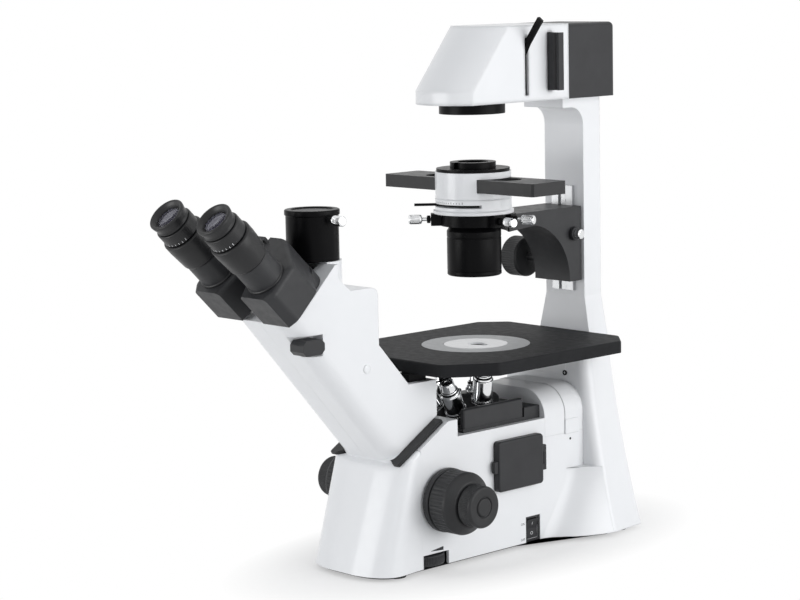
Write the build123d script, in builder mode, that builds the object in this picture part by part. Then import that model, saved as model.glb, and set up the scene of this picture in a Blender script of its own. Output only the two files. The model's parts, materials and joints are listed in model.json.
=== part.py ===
from build123d import *
from math import atan2, cos, degrees, hypot, radians, sin, tan
import os

os.makedirs("parts", exist_ok=True)

# Inverted microscope, in millimetres. X is the user's right, Y points away from the user, Z is up.
# Heights count from the table. Places along Y count from the optical axis, which the planes below carry.

# General
axis_y = 98.0  # optical axis, behind the middle of the footprint
gap = 0.3  # between neighbouring bodies
run = 0.05  # radial clearance of a shaft in its bore

# Stand
foot_h = 2.5
foot_r = 11.0
plate_t = 2.0
casting_z = foot_h + plate_t
waist_half = 52.5
front_half = 57.0
front_y = -182.0
front_bow = 4.0
flare_y = -157.0
waist_y = -130.0
base_rear_y = 98.0
front_lean = 9.0
front_top_z = 98.0
seat_front_y = -153.0
seat_front_z = 105.0
seat_rear_y = -91.0
seat_rear_z = 142.0
step_y = -79.0
ledge_z = 125.5
arch_front_y = 42.0
arch_seat_z = 106.0
arch_top_z = 152.5
arch_r = 27.0
arch_wall = 4.0
band_front_y = 71.0
band_rear_y = 89.0
band_t = 0.8
base_wall = 6.5
recess_half = waist_half - base_wall
recess_front_y = -65.0

# Column: front and rear half widths of its flared foot at rising heights, then the lamp pillar
pedestal_sections = ((casting_z, 89.0, 83.0), (35.0, 81.0, 73.0), (95.0, 70.0, 56.5), (150.0, 61.5, 44.5))
pedestal_top_half = 58.5
pedestal_rear_half = 38.0
pedestal_r = 10.0
column_rear_y = 156.0
pillar_half = 26.3
pillar_front_y = 131.0
pillar_base_z = 235.0
arm_front_y = 101.0
arm_t = 10.0
arm_r = 18.0
skirt_z = 70.0

# Stage
stage_half = 100.0
stage_front_y = -114.0
stage_rear_y = 127.0
stage_top_z = 200.0
stage_t = 12.0
stage_bottom_z = stage_top_z - stage_t
stage_corner_x = 34.0
stage_corner_y = 45.0
stage_rear_cut = 24.0
ring_r = 53.5
ring_t = 3.2
ring_ledge = 3.5
disc_r = 31.5
disc_t = 2.0
disc_ledge = 2.5
drop_r = 8.0
drop_tip_r = 3.0
drop_len = 13.0
post_x = 22.0
post_w = 16.0
post_front_y = -120.0
post_rear_y = -98.0

# Head
head_half = 37.0
head_wall = 3.5
seat_plate_t = 3.5
seat_plate_half = 48.0
shoulder_z = 180.5
head_back_y = -164.0
head_top_z = 277.0
nose_y = -277.0
nose_z = 254.0
photo_y = -210.0
photo_seat_z = 304.0
photo_top_z = 351.0
photo_r = 24.5
photo_lip_r = 25.6
photo_bore_r = 19.0
photo_shoulder = 2.0
boss_r = 26.5
light_port_r = 16.0
photo_screw_z = 342.0
selector_y = -249.0
selector_z = 231.0
selector_len = 26.0
selector_h = 14.0

# Binocular: tubes lean back at 45 degrees and swing about a pivot above and between them
tilt = 45.0
tube_x = 33.0
pivot_y = -236.7
pivot_z = 282.0
pivot_drop = 29.6
pivot_r = 11.0
block_t = 13.4
block_w = 68.0
block_h = 44.0
block_top = 16.0
housing_top = 52.7
tube_top = 79.7
eyepiece_top = 109.7
diopter_top = 123.5
eyecup_top = 131.5
tube_r = 17.8
eyepiece_r = 20.0
diopter_r = 18.2
eyecup_r = 16.6
eye_lens_r = 11.0
swing_in = 14.5
swing_out = 12.0

# Focus drive
focus_y = -99.0
focus_z = 68.0
sleeve_r = 12.0
shaft_r = 5.0
boss_focus_r = 16.0
tension_r = 30.75
tension_x = 55.0
tension_t = 6.5
coarse_r = 30.0
coarse_x = 62.0
coarse_t = 22.0
coarse_cone_t = 6.0
fine_r = 20.0
fine_x = coarse_x + coarse_t + coarse_cone_t + gap
fine_t = 17.0
grip_grooves = 24
grip_groove_r = 1.5

# Nosepiece
turret_y = -21.0
turret_z = 137.0
turret_tilt = 17.0
turret_r = 38.5
turret_t = 8.5
turret_spigot_r = 8.0
carriage_top_z = 129.0
carriage_rear_top_z = 138.0
carriage_step_y = 20.0
carriage_bottom_z = 100.0
focus_travel = 3.5  # up and down from rest
objective_count = 5
objective_r = 10.5
objective_reach = (104.0, 112.0, 118.0, 122.0, 123.5)

# Condenser
drum_r = 37.5
drum_z = 330.0
drum_seam_z = 345.0
drum_top_z = 371.0
drum_bore_r = 15.0
cap_r = 36.0
cap_t = 3.0
cap_boss_r = 22.5
cap_boss_t = 6.0
slider_half_x = 102.0
slider_half_y = 23.5
slider_z = 352.0
slider_t = 12.5
slider_pitch = 45.0
iris_z = 338.5
iris_t = 2.4
iris_ring_r = 26.0
iris_slot_from = -139.0
iris_slot_to = -33.0
iris_rest = -133.0
mount_r = 33.0
mount_t = 12.0
lens_tube_r = 26.7
lens_tube_z = 269.0
lens_tube_top_z = 313.0
lens_neck_r = 24.0
lens_bore_r = 20.0
centring_angles = (-133.0, -8.0, 22.0)
carrier_half = 24.0
carrier_top_z = 327.0
carrier_bottom_z = 251.5
carrier_rear_y = 129.0
rail_inner = 5.0
rail_outer = 14.0
rail_t = 4.0
rail_z = 240.0
rail_len = 107.0
rack_half = 3.0
wheel_y = 117.0
wheel_z = 272.0
wheel_r = 20.5
wheel_x = 38.0
wheel_t = 21.0
wheel_shaft_r = 4.0
clamp_shaft_r = 2.5
clamp_r = 7.0
clamp_t = 11.0
screw_z = 324.0
screw_block_x = 42.0
screw_block_w = 13.0
screw_shaft_r = 1.8
screw_knob_x = 51.0
screw_knob_r = 4.6
screw_knob_t = 13.0
clamp_y = 118.0
clamp_z = 300.0

# Lamp house
lamp_half = 39.0
lamp_z = 437.0
lamp_knee_z = 450.0
lamp_top_z = 511.0
lamp_crease_y = -38.0
lamp_apex_y = -56.0
lamp_slope = 51.0
lamp_rear_y = 97.0
lamp_wall = 3.0
cap_rear_y = 166.5
collector_r = 32.3
collector_bore_r = 26.0
collector_z = 427.0
collector_spigot_r = 28.0
beam_z = 475.0
swing_slot_y = 37.0
swing_slot_w = 5.0
swing_slot_z = 443.0
swing_slot_top = 499.0
swing_pivot_x = 12.0
swing_pivot_z = 447.0
swing_t = 3.5
swing_pin_r = 2.0
drawer_y = 70.0
drawer_t = 7.0
drawer_z = 447.0
drawer_h = 56.0
drawer_grip_x = 54.0

# Controls on the right wall
cover_front_y = -31.0
cover_rear_y = 32.0
cover_z = 63.0
cover_h = 50.0
cover_t = 7.5
hinge_pin_r = 1.5
rocker_y = 23.5
rocker_z = 17.5
rocker_w = 15.4
rocker_h = 19.4
rocker_tilt = 6.0
dimmer_y = -110.5
dimmer_r = 21.5
dimmer_x = 33.5
dimmer_z = 5.5
dimmer_t = 10.5
dimmer_window = 34.0
dimmer_window_top = 17.5
inlet_z = 36.0
inlet_w = 28.0
inlet_h = 21.0
inlet_depth = 22.0

# Reference planes: floor, side (Y across, Z up) and front (X across, Z up), all through the optical axis
optical = Plane(origin=(0, axis_y, 0))
side = Plane(origin=(0, axis_y, 0), x_dir=(0, 1, 0), z_dir=(1, 0, 0))
front = Plane(origin=(0, axis_y, 0), x_dir=(1, 0, 0), z_dir=(0, -1, 0))
optical_axis = Axis((0, axis_y, 0), (0, 0, 1))
UP = (Align.CENTER, Align.CENTER, Align.MIN)


def save(piece, label):
    """Label a finished piece and write it."""
    piece.part.label = label
    export_step(piece.part, f"parts/{label}.step")


# Slanted seat of the head, as a plane on the base
seat_angle = degrees(atan2(seat_rear_z - seat_front_z, seat_rear_y - seat_front_y))
seat_len = hypot(seat_rear_z - seat_front_z, seat_rear_y - seat_front_y)
seat = Plane(
    origin=(0, axis_y + seat_front_y, seat_front_z),
    x_dir=(1, 0, 0),
    z_dir=(0, -sin(radians(seat_angle)), cos(radians(seat_angle))),
)
focus_end = Plane(origin=(0, axis_y + focus_y, focus_z), x_dir=(0, 1, 0), z_dir=(1, 0, 0))
focus_section = Plane(origin=(0, axis_y + focus_y, focus_z), x_dir=(1, 0, 0), z_dir=(0, -1, 0))
focus_axis = Axis((0, axis_y + focus_y, focus_z), (1, 0, 0))

# Base casting: bowed front, waist, slanted head seat, nosepiece recess and openings for the controls
base_profile = (
    (front_y - front_bow, casting_z),
    (front_y - front_bow + front_lean, front_top_z),
    (seat_front_y, seat_front_z),
    (seat_rear_y, seat_rear_z),
    (step_y, seat_rear_z),
    (step_y, ledge_z),
    (arch_front_y, ledge_z),
    (arch_front_y, arch_seat_z),
    (base_rear_y, arch_seat_z),
    (base_rear_y, casting_z),
)
cavity_profile = (
    (front_y + 2 * base_wall, 0),
    (front_y + 2 * base_wall + front_lean, front_top_z - 2 * base_wall),
    (seat_rear_y - base_wall, seat_rear_z - 2 * base_wall),
    (step_y - base_wall, ledge_z - base_wall),
    (arch_front_y - base_wall, ledge_z - base_wall),
    (arch_front_y - base_wall, arch_seat_z - base_wall),
    (base_rear_y - base_wall, arch_seat_z - base_wall),
    (base_rear_y - base_wall, 0),
)
with BuildPart() as base_casting:
    with BuildSketch(optical.offset(casting_z)) as plan:
        with BuildLine():
            ThreePointArc((-front_half, front_y), (0, front_y - front_bow), (front_half, front_y))
            Polyline(
                (front_half, front_y),
                (front_half, flare_y),
                (waist_half, waist_y),
                (waist_half, base_rear_y),
                (-waist_half, base_rear_y),
                (-waist_half, waist_y),
                (-front_half, flare_y),
                (-front_half, front_y),
            )
        make_face()
        front_corners = plan.vertices().group_by(Axis.Y)[0]
        fillet(front_corners, radius=22)
        fillet(plan.vertices().sort_by(Axis.Y)[4:6], radius=30)
        fillet(plan.vertices().sort_by(Axis.Y)[-4:-2], radius=40)
    extrude(amount=seat_rear_z)
    with BuildSketch(side):
        Polygon(*base_profile, align=None)
    extrude(amount=2 * waist_half, both=True, mode=Mode.INTERSECT)
    with BuildSketch(side):
        Polygon(*cavity_profile, align=None)
    extrude(amount=recess_half, both=True, mode=Mode.SUBTRACT)
    with BuildSketch(optical.offset(carriage_bottom_z - focus_travel - 1)):
        with Locations((0, (recess_front_y + arch_front_y) / 2)):
            Rectangle(2 * recess_half, arch_front_y - recess_front_y)
    extrude(amount=ledge_z, mode=Mode.SUBTRACT)
    # Light port through the seat, bosses and bore of the focus drive
    with BuildSketch(seat):
        with Locations((0, seat_len / 2)):
            Circle(light_port_r)
    extrude(amount=4 * base_wall, both=True, mode=Mode.SUBTRACT)
    with BuildSketch(focus_end):
        Circle(boss_focus_r)
    extrude(amount=coarse_x - gap, both=True)
    with BuildSketch(focus_end):
        Circle(boss_focus_r)
    extrude(amount=recess_half, both=True, mode=Mode.SUBTRACT)
    with BuildSketch(focus_end):
        Circle(sleeve_r + run)
    extrude(amount=coarse_x, both=True, mode=Mode.SUBTRACT)
    # Rocker opening with its sunk surround, and the dimmer window with room for the wheel
    with BuildSketch(side.offset(waist_half)):
        with Locations((rocker_y, rocker_z)):
            Rectangle(rocker_w + 2 * gap, rocker_h + 4 * gap)
    extrude(amount=-2 * base_wall, mode=Mode.SUBTRACT)
    with BuildSketch(side.offset(waist_half)):
        with Locations((rocker_y, casting_z)):
            Rectangle(rocker_w + 5, 2 * (rocker_z + rocker_h / 2 - casting_z + 3), align=(Align.CENTER, Align.CENTER))
    extrude(amount=-2, mode=Mode.SUBTRACT)
    with BuildSketch(side.offset(waist_half)):
        with Locations((dimmer_y, casting_z)):
            Rectangle(dimmer_window, 2 * (dimmer_window_top - casting_z))
    extrude(amount=-2 * base_wall, mode=Mode.SUBTRACT)
    with BuildSketch(side.offset(waist_half - base_wall / 2)):
        with Locations((dimmer_y, casting_z)):
            Rectangle(2 * dimmer_r, 2 * (dimmer_window_top - casting_z))
    extrude(amount=-base_wall, mode=Mode.SUBTRACT)
save(base_casting, "base_casting")

# Bottom plate with the dimmer's pin, and four feet
plate_inset = 4.0
foot_spots = ((-38, -150), (38, -150), (-66, 132), (66, 132))
with BuildPart() as base_plate:
    with BuildSketch(optical.offset(foot_h)):
        with BuildLine():
            Polyline(
                (-front_half + 3 * plate_inset, front_y + plate_inset),
                (front_half - 3 * plate_inset, front_y + plate_inset),
                (waist_half - plate_inset, waist_y),
                (waist_half - plate_inset, arch_front_y),
                (pedestal_sections[0][1] - 2 * plate_inset, base_rear_y),
                (pedestal_sections[0][2] - 2 * plate_inset, column_rear_y - 2 * plate_inset),
                (-pedestal_sections[0][2] + 2 * plate_inset, column_rear_y - 2 * plate_inset),
                (-pedestal_sections[0][1] + 2 * plate_inset, base_rear_y),
                (-waist_half + plate_inset, arch_front_y),
                (-waist_half + plate_inset, waist_y),
                close=True,
            )
        make_face()
    extrude(amount=plate_t)
    with BuildSketch(optical.offset(casting_z)):
        with Locations((dimmer_x, dimmer_y)):
            Circle(2.5)
    extrude(amount=dimmer_t)
save(base_plate, "base_plate")

with BuildPart(optical) as feet:
    with Locations(*[(x, y, 0) for x, y in foot_spots]):
        Cone(foot_r - 1, foot_r, foot_h, align=UP)
save(feet, "feet")

# Column: flared foot with a concave skirt towards the waist, shoulder behind the stage, pillar and lamp arm
skirt_x = pedestal_sections[0][1] - pedestal_r
skirt_rear_y = base_rear_y + pedestal_r
skirt_front_y = arch_front_y - 2
with BuildPart() as skirt:
    with BuildSketch(optical.offset(casting_z)):
        with BuildLine():
            Polyline(
                (skirt_x, skirt_rear_y),
                (waist_half + gap, skirt_rear_y),
                (waist_half + gap, skirt_front_y),
            )
            ThreePointArc(
                (waist_half + gap, skirt_front_y),
                (waist_half + 11, skirt_front_y + 36),
                (skirt_x, skirt_rear_y),
            )
        make_face()
    extrude(amount=skirt_z - casting_z, taper=8)
with BuildPart() as column:
    for z, front_w, rear_w in pedestal_sections + ((stage_bottom_z, pedestal_top_half, pedestal_rear_half),):
        with BuildSketch(optical.offset(z)) as section:
            Polygon(
                (-front_w, base_rear_y),
                (front_w, base_rear_y),
                (rear_w, column_rear_y),
                (-rear_w, column_rear_y),
                align=None,
            )
            fillet(section.vertices(), radius=pedestal_r)
    loft()
    with BuildSketch(optical.offset(stage_bottom_z)):
        with Locations((0, column_rear_y)):
            Rectangle(2 * pedestal_rear_half - 4, column_rear_y - stage_rear_y - 4 * gap, align=(Align.CENTER, Align.MAX))
    with BuildSketch(optical.offset(pillar_base_z)):
        with Locations((0, column_rear_y)):
            Rectangle(2 * pillar_half, column_rear_y - pillar_front_y, align=(Align.CENTER, Align.MAX))
    loft()
    with BuildSketch(side) as pillar:
        Polygon(
            (pillar_front_y, pillar_base_z),
            (pillar_front_y, lamp_z - arm_t),
            (arm_front_y, lamp_z - arm_t),
            (arm_front_y, lamp_z),
            (column_rear_y, lamp_z),
            (column_rear_y, pillar_base_z),
            align=None,
        )
        corner = pillar.vertices().sort_by_distance((pillar_front_y, lamp_z - arm_t))[0]
        fillet(corner, radius=arm_r)
    extrude(amount=pillar_half, both=True)
    mirror(skirt.part, about=Plane.YZ)
    add(skirt.part)
    # Mains inlet opening at the back
    with BuildSketch(front.offset(-column_rear_y)):
        with Locations((0, inlet_z)):
            Rectangle(inlet_w + 2 * gap, inlet_h + 2 * gap)
    extrude(amount=inlet_depth + gap, mode=Mode.SUBTRACT)
save(column, "column")

# Arch cover behind the nosepiece, with its raised band
with BuildPart() as arch_cover:
    with BuildSketch(front.offset(-arch_front_y)) as arch:
        with Locations((0, arch_seat_z)):
            Rectangle(2 * waist_half, arch_top_z - arch_seat_z, align=(Align.CENTER, Align.MIN))
        fillet(arch.vertices().group_by(Axis.Y)[-1], radius=arch_r)
    extrude(amount=-(base_rear_y - arch_front_y))
    with BuildSketch(front.offset(-arch_front_y - arch_wall)) as hollow:
        with Locations((0, arch_seat_z)):
            Rectangle(
                2 * (waist_half - arch_wall),
                arch_top_z - arch_wall - arch_seat_z,
                align=(Align.CENTER, Align.MIN),
            )
        fillet(hollow.vertices().group_by(Axis.Y)[-1], radius=arch_r - arch_wall)
    extrude(amount=-(base_rear_y - arch_front_y), mode=Mode.SUBTRACT)
    with BuildSketch(front.offset(-band_front_y)) as band:
        with Locations((0, arch_seat_z)):
            Rectangle(
                2 * (waist_half + band_t),
                arch_top_z + band_t - arch_seat_z,
                align=(Align.CENTER, Align.MIN),
            )
        fillet(band.vertices().group_by(Axis.Y)[-1], radius=arch_r + band_t)
        with Locations((0, arch_seat_z)):
            Rectangle(
                2 * (waist_half - arch_wall),
                arch_top_z - arch_r - arch_seat_z,
                align=(Align.CENTER, Align.MIN),
                mode=Mode.SUBTRACT,
            )
        with Locations((0, arch_top_z - arch_r)):
            Rectangle(
                2 * (waist_half - arch_r),
                arch_r - arch_wall,
                align=(Align.CENTER, Align.MIN),
                mode=Mode.SUBTRACT,
            )
        with Locations(
            (waist_half - arch_r, arch_top_z - arch_r),
            (-waist_half + arch_r, arch_top_z - arch_r),
        ):
            Circle(arch_r - arch_wall, mode=Mode.SUBTRACT)
    extrude(amount=-(band_rear_y - band_front_y))
save(arch_cover, "arch_cover")

# Dark plate between the base and the head
with BuildPart() as seat_plate:
    with BuildSketch(seat):
        with Locations((0, seat_len / 2)):
            RectangleRounded(2 * seat_plate_half, seat_len - 4, 4)
            Circle(light_port_r, mode=Mode.SUBTRACT)
    extrude(amount=seat_plate_t)
save(seat_plate, "seat_plate")

# Head: two mirrored shells that meet at the middle seam
seat_rise = seat_plate_t / cos(radians(seat_angle))
seat_slope = tan(radians(seat_angle))
mount_sum = pivot_z - pivot_y
lip_z = nose_z + 5.5
mount_top_z = 302.7
head_profile = (
    (seat_front_y + 2, seat_front_z + 2 * seat_slope + seat_rise),
    (nose_y, nose_z),
    (nose_y + 9, lip_z),
    (lip_z - mount_sum, lip_z),
    (mount_top_z - mount_sum, mount_top_z),
    (mount_top_z - mount_sum + 3.5, mount_top_z),
    (mount_top_z - mount_sum + 3.5, head_top_z + 13),
    (mount_top_z - mount_sum + 18, head_top_z),
    (head_back_y, head_top_z),
    (head_back_y, shoulder_z + 42),
    (head_back_y + 37, shoulder_z),
    (seat_rear_y, shoulder_z),
    (seat_rear_y, seat_rear_z + seat_rise),
)
eye = Plane(
    origin=(0, axis_y + pivot_y, pivot_z),
    x_dir=(1, 0, 0),
    z_dir=(0, -cos(radians(tilt)), sin(radians(tilt))),
)
with BuildPart() as head_right:
    with BuildSketch(side) as outline:
        Polygon(*head_profile, align=None)
        rounded = outline.vertices().sort_by_distance((head_back_y, head_top_z))[0]
        fillet(rounded, radius=8)
    extrude(amount=head_half)
    outer_edges = head_right.edges().group_by(Axis.X)[-1]
    fillet(outer_edges.sort_by(SortBy.LENGTH)[-1], radius=16)
    with BuildSketch(optical.offset(head_top_z - 8)):
        with Locations((0, photo_y)):
            Circle(boss_r)
        with Locations((0, photo_y)):
            Rectangle(2 * boss_r, 2 * boss_r, align=(Align.MAX, Align.CENTER), mode=Mode.SUBTRACT)
    extrude(amount=photo_seat_z - head_top_z + 8)
    with BuildSketch(eye):
        Rectangle(4 * boss_r, 2 * pivot_drop)
    extrude(amount=2 * boss_r, mode=Mode.SUBTRACT)
    with BuildSketch(side):
        Polygon(*head_profile, align=None)
        offset(amount=-head_wall, kind=Kind.INTERSECTION, mode=Mode.REPLACE)
    extrude(amount=head_half - head_wall - 6, mode=Mode.SUBTRACT)
    with BuildSketch(seat.offset(seat_plate_t)):
        with Locations((0, seat_len / 2)):
            Circle(light_port_r)
    extrude(amount=4 * head_wall, both=True, mode=Mode.SUBTRACT)
    with BuildSketch(optical.offset(photo_seat_z)):
        with Locations((0, photo_y)):
            Circle(photo_bore_r - photo_shoulder)
    extrude(amount=-(photo_seat_z - head_top_z + 12), mode=Mode.SUBTRACT)
    with BuildSketch(eye):
        Circle(pivot_r)
    extrude(amount=-4 * head_wall, mode=Mode.SUBTRACT)
with BuildPart() as head_left:
    mirror(head_right.part, about=Plane.YZ)
save(head_left, "head_shell_left")

# Pocket and rod hole of the light-path knob, on the right shell alone
selector_pocket_x = 24.0
selector_rod_r = 3.0
selector_rod_y = selector_y + 5
with BuildPart() as selector_pad:
    with BuildSketch(side.offset(selector_pocket_x - 4)):
        Polygon(*head_profile, align=None)
        offset(amount=-head_wall / 2, kind=Kind.INTERSECTION, mode=Mode.REPLACE)
    extrude(amount=head_wall + 4)
    with BuildSketch(side):
        with Locations((selector_y, selector_z)):
            Rectangle(selector_len + 12, selector_h + 12)
    extrude(amount=head_half, mode=Mode.INTERSECT)
with BuildPart() as head_shell_right:
    add(head_right.part)
    add(selector_pad.part)
    with BuildSketch(side.offset(selector_pocket_x)):
        with Locations((selector_y, selector_z)):
            Rectangle(selector_len + 6, selector_h + 6)
    extrude(amount=head_half, mode=Mode.SUBTRACT)
    with BuildSketch(side):
        with Locations((selector_rod_y, selector_z)):
            Circle(selector_rod_r + run)
    extrude(amount=selector_pocket_x, mode=Mode.SUBTRACT)
save(head_shell_right, "head_shell_right")

with BuildPart() as light_path_knob:
    with BuildSketch(side.offset(selector_pocket_x + 1)) as grip:
        with Locations((selector_y, selector_z)):
            Rectangle(selector_len, selector_h)
        chamfer(grip.vertices(), length=4)
    extrude(amount=18)
    with BuildSketch(side.offset(4)):
        with Locations((selector_rod_y, selector_z)):
            Circle(selector_rod_r)
    extrude(amount=selector_pocket_x)
save(light_path_knob, "light_path_knob")

# Photo tube with its clamp screw
with BuildPart() as photo_tube:
    with BuildSketch(optical.offset(photo_seat_z)):
        with Locations((0, photo_y)):
            Circle(photo_r)
    extrude(amount=photo_top_z - photo_seat_z)
    with BuildSketch(optical.offset(photo_top_z - 5)):
        with Locations((0, photo_y)):
            Circle(photo_lip_r)
    extrude(amount=5)
    with BuildSketch(optical.offset(photo_seat_z)):
        with Locations((0, photo_y)):
            Circle(photo_bore_r)
    extrude(amount=photo_top_z - photo_seat_z, mode=Mode.SUBTRACT)
    with BuildSketch(side):
        with Locations((photo_y, photo_screw_z)):
            Circle(2 + run)
    extrude(amount=photo_lip_r + 5, mode=Mode.SUBTRACT)
save(photo_tube, "photo_tube")

with BuildPart() as photo_screw:
    with BuildSketch(side.offset(photo_bore_r + 0.5)):
        with Locations((photo_y, photo_screw_z)):
            Circle(2)
    extrude(amount=photo_r - photo_bore_r + 10)
    with BuildSketch(side.offset(photo_r + 6)):
        with Locations((photo_y, photo_screw_z)):
            Circle(4.8)
    extrude(amount=12)
    chamfer(photo_screw.edges().group_by(Axis.X)[-1], length=0.8)
save(photo_screw, "photo_screw")

# Binocular: fixed block with the pivot, then for each eye a housing, an eyepiece and a diopter ring
with BuildPart() as binocular_block:
    with BuildSketch(eye) as block:
        with Locations((0, block_top)):
            Rectangle(block_w, block_h, align=(Align.CENTER, Align.MAX))
        fillet(block.vertices(), radius=14)
        Circle(6, mode=Mode.SUBTRACT)
    extrude(amount=block_t)
    with BuildSketch(eye.offset(block_t)):
        Circle(pivot_r)
        Circle(6, mode=Mode.SUBTRACT)
    extrude(amount=housing_top - block_t - 6)
save(binocular_block, "binocular_block")

low_angle = radians(90 - swing_in - 1)
high_angle = radians(90 - swing_out - 1)
housing_low = -pivot_drop - 23
housing_high = block_top - 1
housing_section = (
    (0, 0),
    (-housing_low / tan(low_angle), housing_low),
    (tube_x + 17, housing_low),
    (tube_x + 22, housing_low + 8),
    (tube_x + 22, -12),
    (24, housing_high),
    (housing_high / tan(high_angle), housing_high),
)
with BuildPart() as housing_right:
    with BuildSketch(eye.offset(block_t + gap)) as wedge:
        Polygon(*housing_section, align=None)
        fillet(wedge.vertices().sort_by(Axis.X)[-2:], radius=8)
        Circle(pivot_r + gap, mode=Mode.SUBTRACT)
    extrude(amount=housing_top - block_t - gap)
    fillet(housing_right.faces().sort_by(Axis(eye.origin, eye.z_dir))[-1].edges().sort_by(SortBy.LENGTH)[-2:], radius=5)
    with BuildSketch(eye.offset(housing_top)):
        with Locations((tube_x, -pivot_drop)):
            Circle(tube_r)
    extrude(amount=tube_top - housing_top)
    with BuildSketch(eye.offset(tube_top)):
        with Locations((tube_x, -pivot_drop)):
            Circle(tube_r - 3)
    extrude(amount=-(tube_top - housing_top), mode=Mode.SUBTRACT)
with BuildPart() as housing_left:
    mirror(housing_right.part, about=Plane.YZ)
save(housing_right, "prism_housing_right")
save(housing_left, "prism_housing_left")

with BuildPart() as eyepiece_right:
    with BuildSketch(eye.offset(tube_top)):
        with Locations((tube_x, -pivot_drop)):
            Circle(eyepiece_r)
    extrude(amount=eyepiece_top - tube_top)
    with BuildSketch(eye.offset(tube_top)):
        with Locations((tube_x, -pivot_drop)):
            Circle(tube_r - 3 - gap)
    extrude(amount=-(tube_top - housing_top) + 4)
    with BuildSketch(eye.offset(eyepiece_top)):
        with Locations((tube_x, -pivot_drop)):
            Circle(eye_lens_r + 2)
    extrude(amount=eyecup_top - eyepiece_top - 6)
with BuildPart() as eyepiece_left:
    mirror(eyepiece_right.part, about=Plane.YZ)
save(eyepiece_right, "eyepiece_right")
save(eyepiece_left, "eyepiece_left")

with BuildPart() as diopter_right:
    with BuildSketch(eye.offset(eyepiece_top + gap)):
        with Locations((tube_x, -pivot_drop)):
            Circle(diopter_r)
            Circle(eye_lens_r + 2 + run, mode=Mode.SUBTRACT)
            with PolarLocations(diopter_r, grip_grooves):
                Circle(0.8, mode=Mode.SUBTRACT)
    extrude(amount=diopter_top - eyepiece_top - gap)
    with BuildSketch(eye.offset(diopter_top)):
        with Locations((tube_x, -pivot_drop)):
            Circle(eyecup_r)
            Circle(eye_lens_r + 2 + run, mode=Mode.SUBTRACT)
    extrude(amount=eyecup_top - diopter_top)
with BuildPart() as diopter_left:
    mirror(diopter_right.part, about=Plane.YZ)
save(diopter_right, "diopter_ring_right")
save(diopter_left, "diopter_ring_left")

# Stage plate with cut corners and the seat of the insert ring, and its two front posts
with BuildPart() as stage_plate:
    with BuildSketch(optical.offset(stage_bottom_z)) as top:
        Polygon(
            (-stage_half + stage_corner_x, stage_front_y),
            (stage_half - stage_corner_x, stage_front_y),
            (stage_half, stage_front_y + stage_corner_y),
            (stage_half, stage_rear_y - stage_rear_cut),
            (stage_half - stage_rear_cut, stage_rear_y),
            (-stage_half + stage_rear_cut, stage_rear_y),
            (-stage_half, stage_rear_y - stage_rear_cut),
            (-stage_half, stage_front_y + stage_corner_y),
            align=None,
        )
        fillet(top.vertices(), radius=8)
    extrude(amount=stage_t)
    fillet(stage_plate.edges().group_by(Axis.Z)[-1], radius=2)
    with BuildSketch(optical.offset(stage_top_z)):
        Circle(ring_r + gap)
    extrude(amount=-ring_t, mode=Mode.SUBTRACT)
    with BuildSketch(optical.offset(stage_bottom_z)):
        Circle(ring_r - ring_ledge)
    extrude(amount=stage_t, mode=Mode.SUBTRACT)
save(stage_plate, "stage_plate")

with BuildPart() as stage_posts:
    with BuildSketch(optical.offset(shoulder_z)):
        with Locations((-post_x, (post_front_y + post_rear_y) / 2), (post_x, (post_front_y + post_rear_y) / 2)):
            Rectangle(post_w, post_rear_y - post_front_y)
    extrude(amount=stage_bottom_z - shoulder_z)
save(stage_posts, "stage_posts")

with BuildPart() as insert_ring:
    with BuildSketch(optical.offset(stage_top_z)):
        Circle(ring_r)
    extrude(amount=-ring_t)
    with BuildSketch(optical.offset(stage_top_z)):
        Circle(disc_r + gap)
    extrude(amount=-disc_t, mode=Mode.SUBTRACT)
    with BuildSketch(optical.offset(stage_top_z)):
        Circle(disc_r - disc_ledge)
    extrude(amount=-ring_t, mode=Mode.SUBTRACT)
save(insert_ring, "insert_ring")

with BuildPart() as insert_disc:
    with BuildSketch(optical.offset(stage_top_z)):
        Circle(disc_r)
        with BuildSketch(mode=Mode.PRIVATE) as drop:
            Circle(drop_r)
            with Locations((drop_len, 0)):
                Circle(drop_tip_r)
            make_hull()
        add(drop.sketch, mode=Mode.SUBTRACT)
    extrude(amount=-disc_t)
save(insert_disc, "insert_disc")

# Focus drive along X: the left knobs are made with their sleeve and shaft, the right knobs are set on them
with BuildPart() as coarse_right:
    with BuildSketch(focus_section):
        Polygon(
            (coarse_x, shaft_r + 2 * gap),
            (coarse_x, coarse_r - 1),
            (coarse_x + 1, coarse_r),
            (coarse_x + coarse_t, coarse_r),
            (coarse_x + coarse_t + coarse_cone_t, fine_r + 2),
            (coarse_x + coarse_t + coarse_cone_t, shaft_r + 2 * gap),
            align=None,
        )
    revolve(axis=focus_axis)
    with BuildSketch(focus_end.offset(coarse_x + 2)):
        with PolarLocations(coarse_r, grip_grooves):
            Circle(grip_groove_r)
    extrude(amount=coarse_t, mode=Mode.SUBTRACT)
with BuildPart() as coarse_left:
    mirror(coarse_right.part, about=Plane.YZ)
    with BuildSketch(focus_end):
        Circle(sleeve_r)
        Circle(shaft_r + run, mode=Mode.SUBTRACT)
    extrude(amount=coarse_x, both=True)
save(coarse_right, "coarse_knob_right")
save(coarse_left, "coarse_knob_left")

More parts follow.
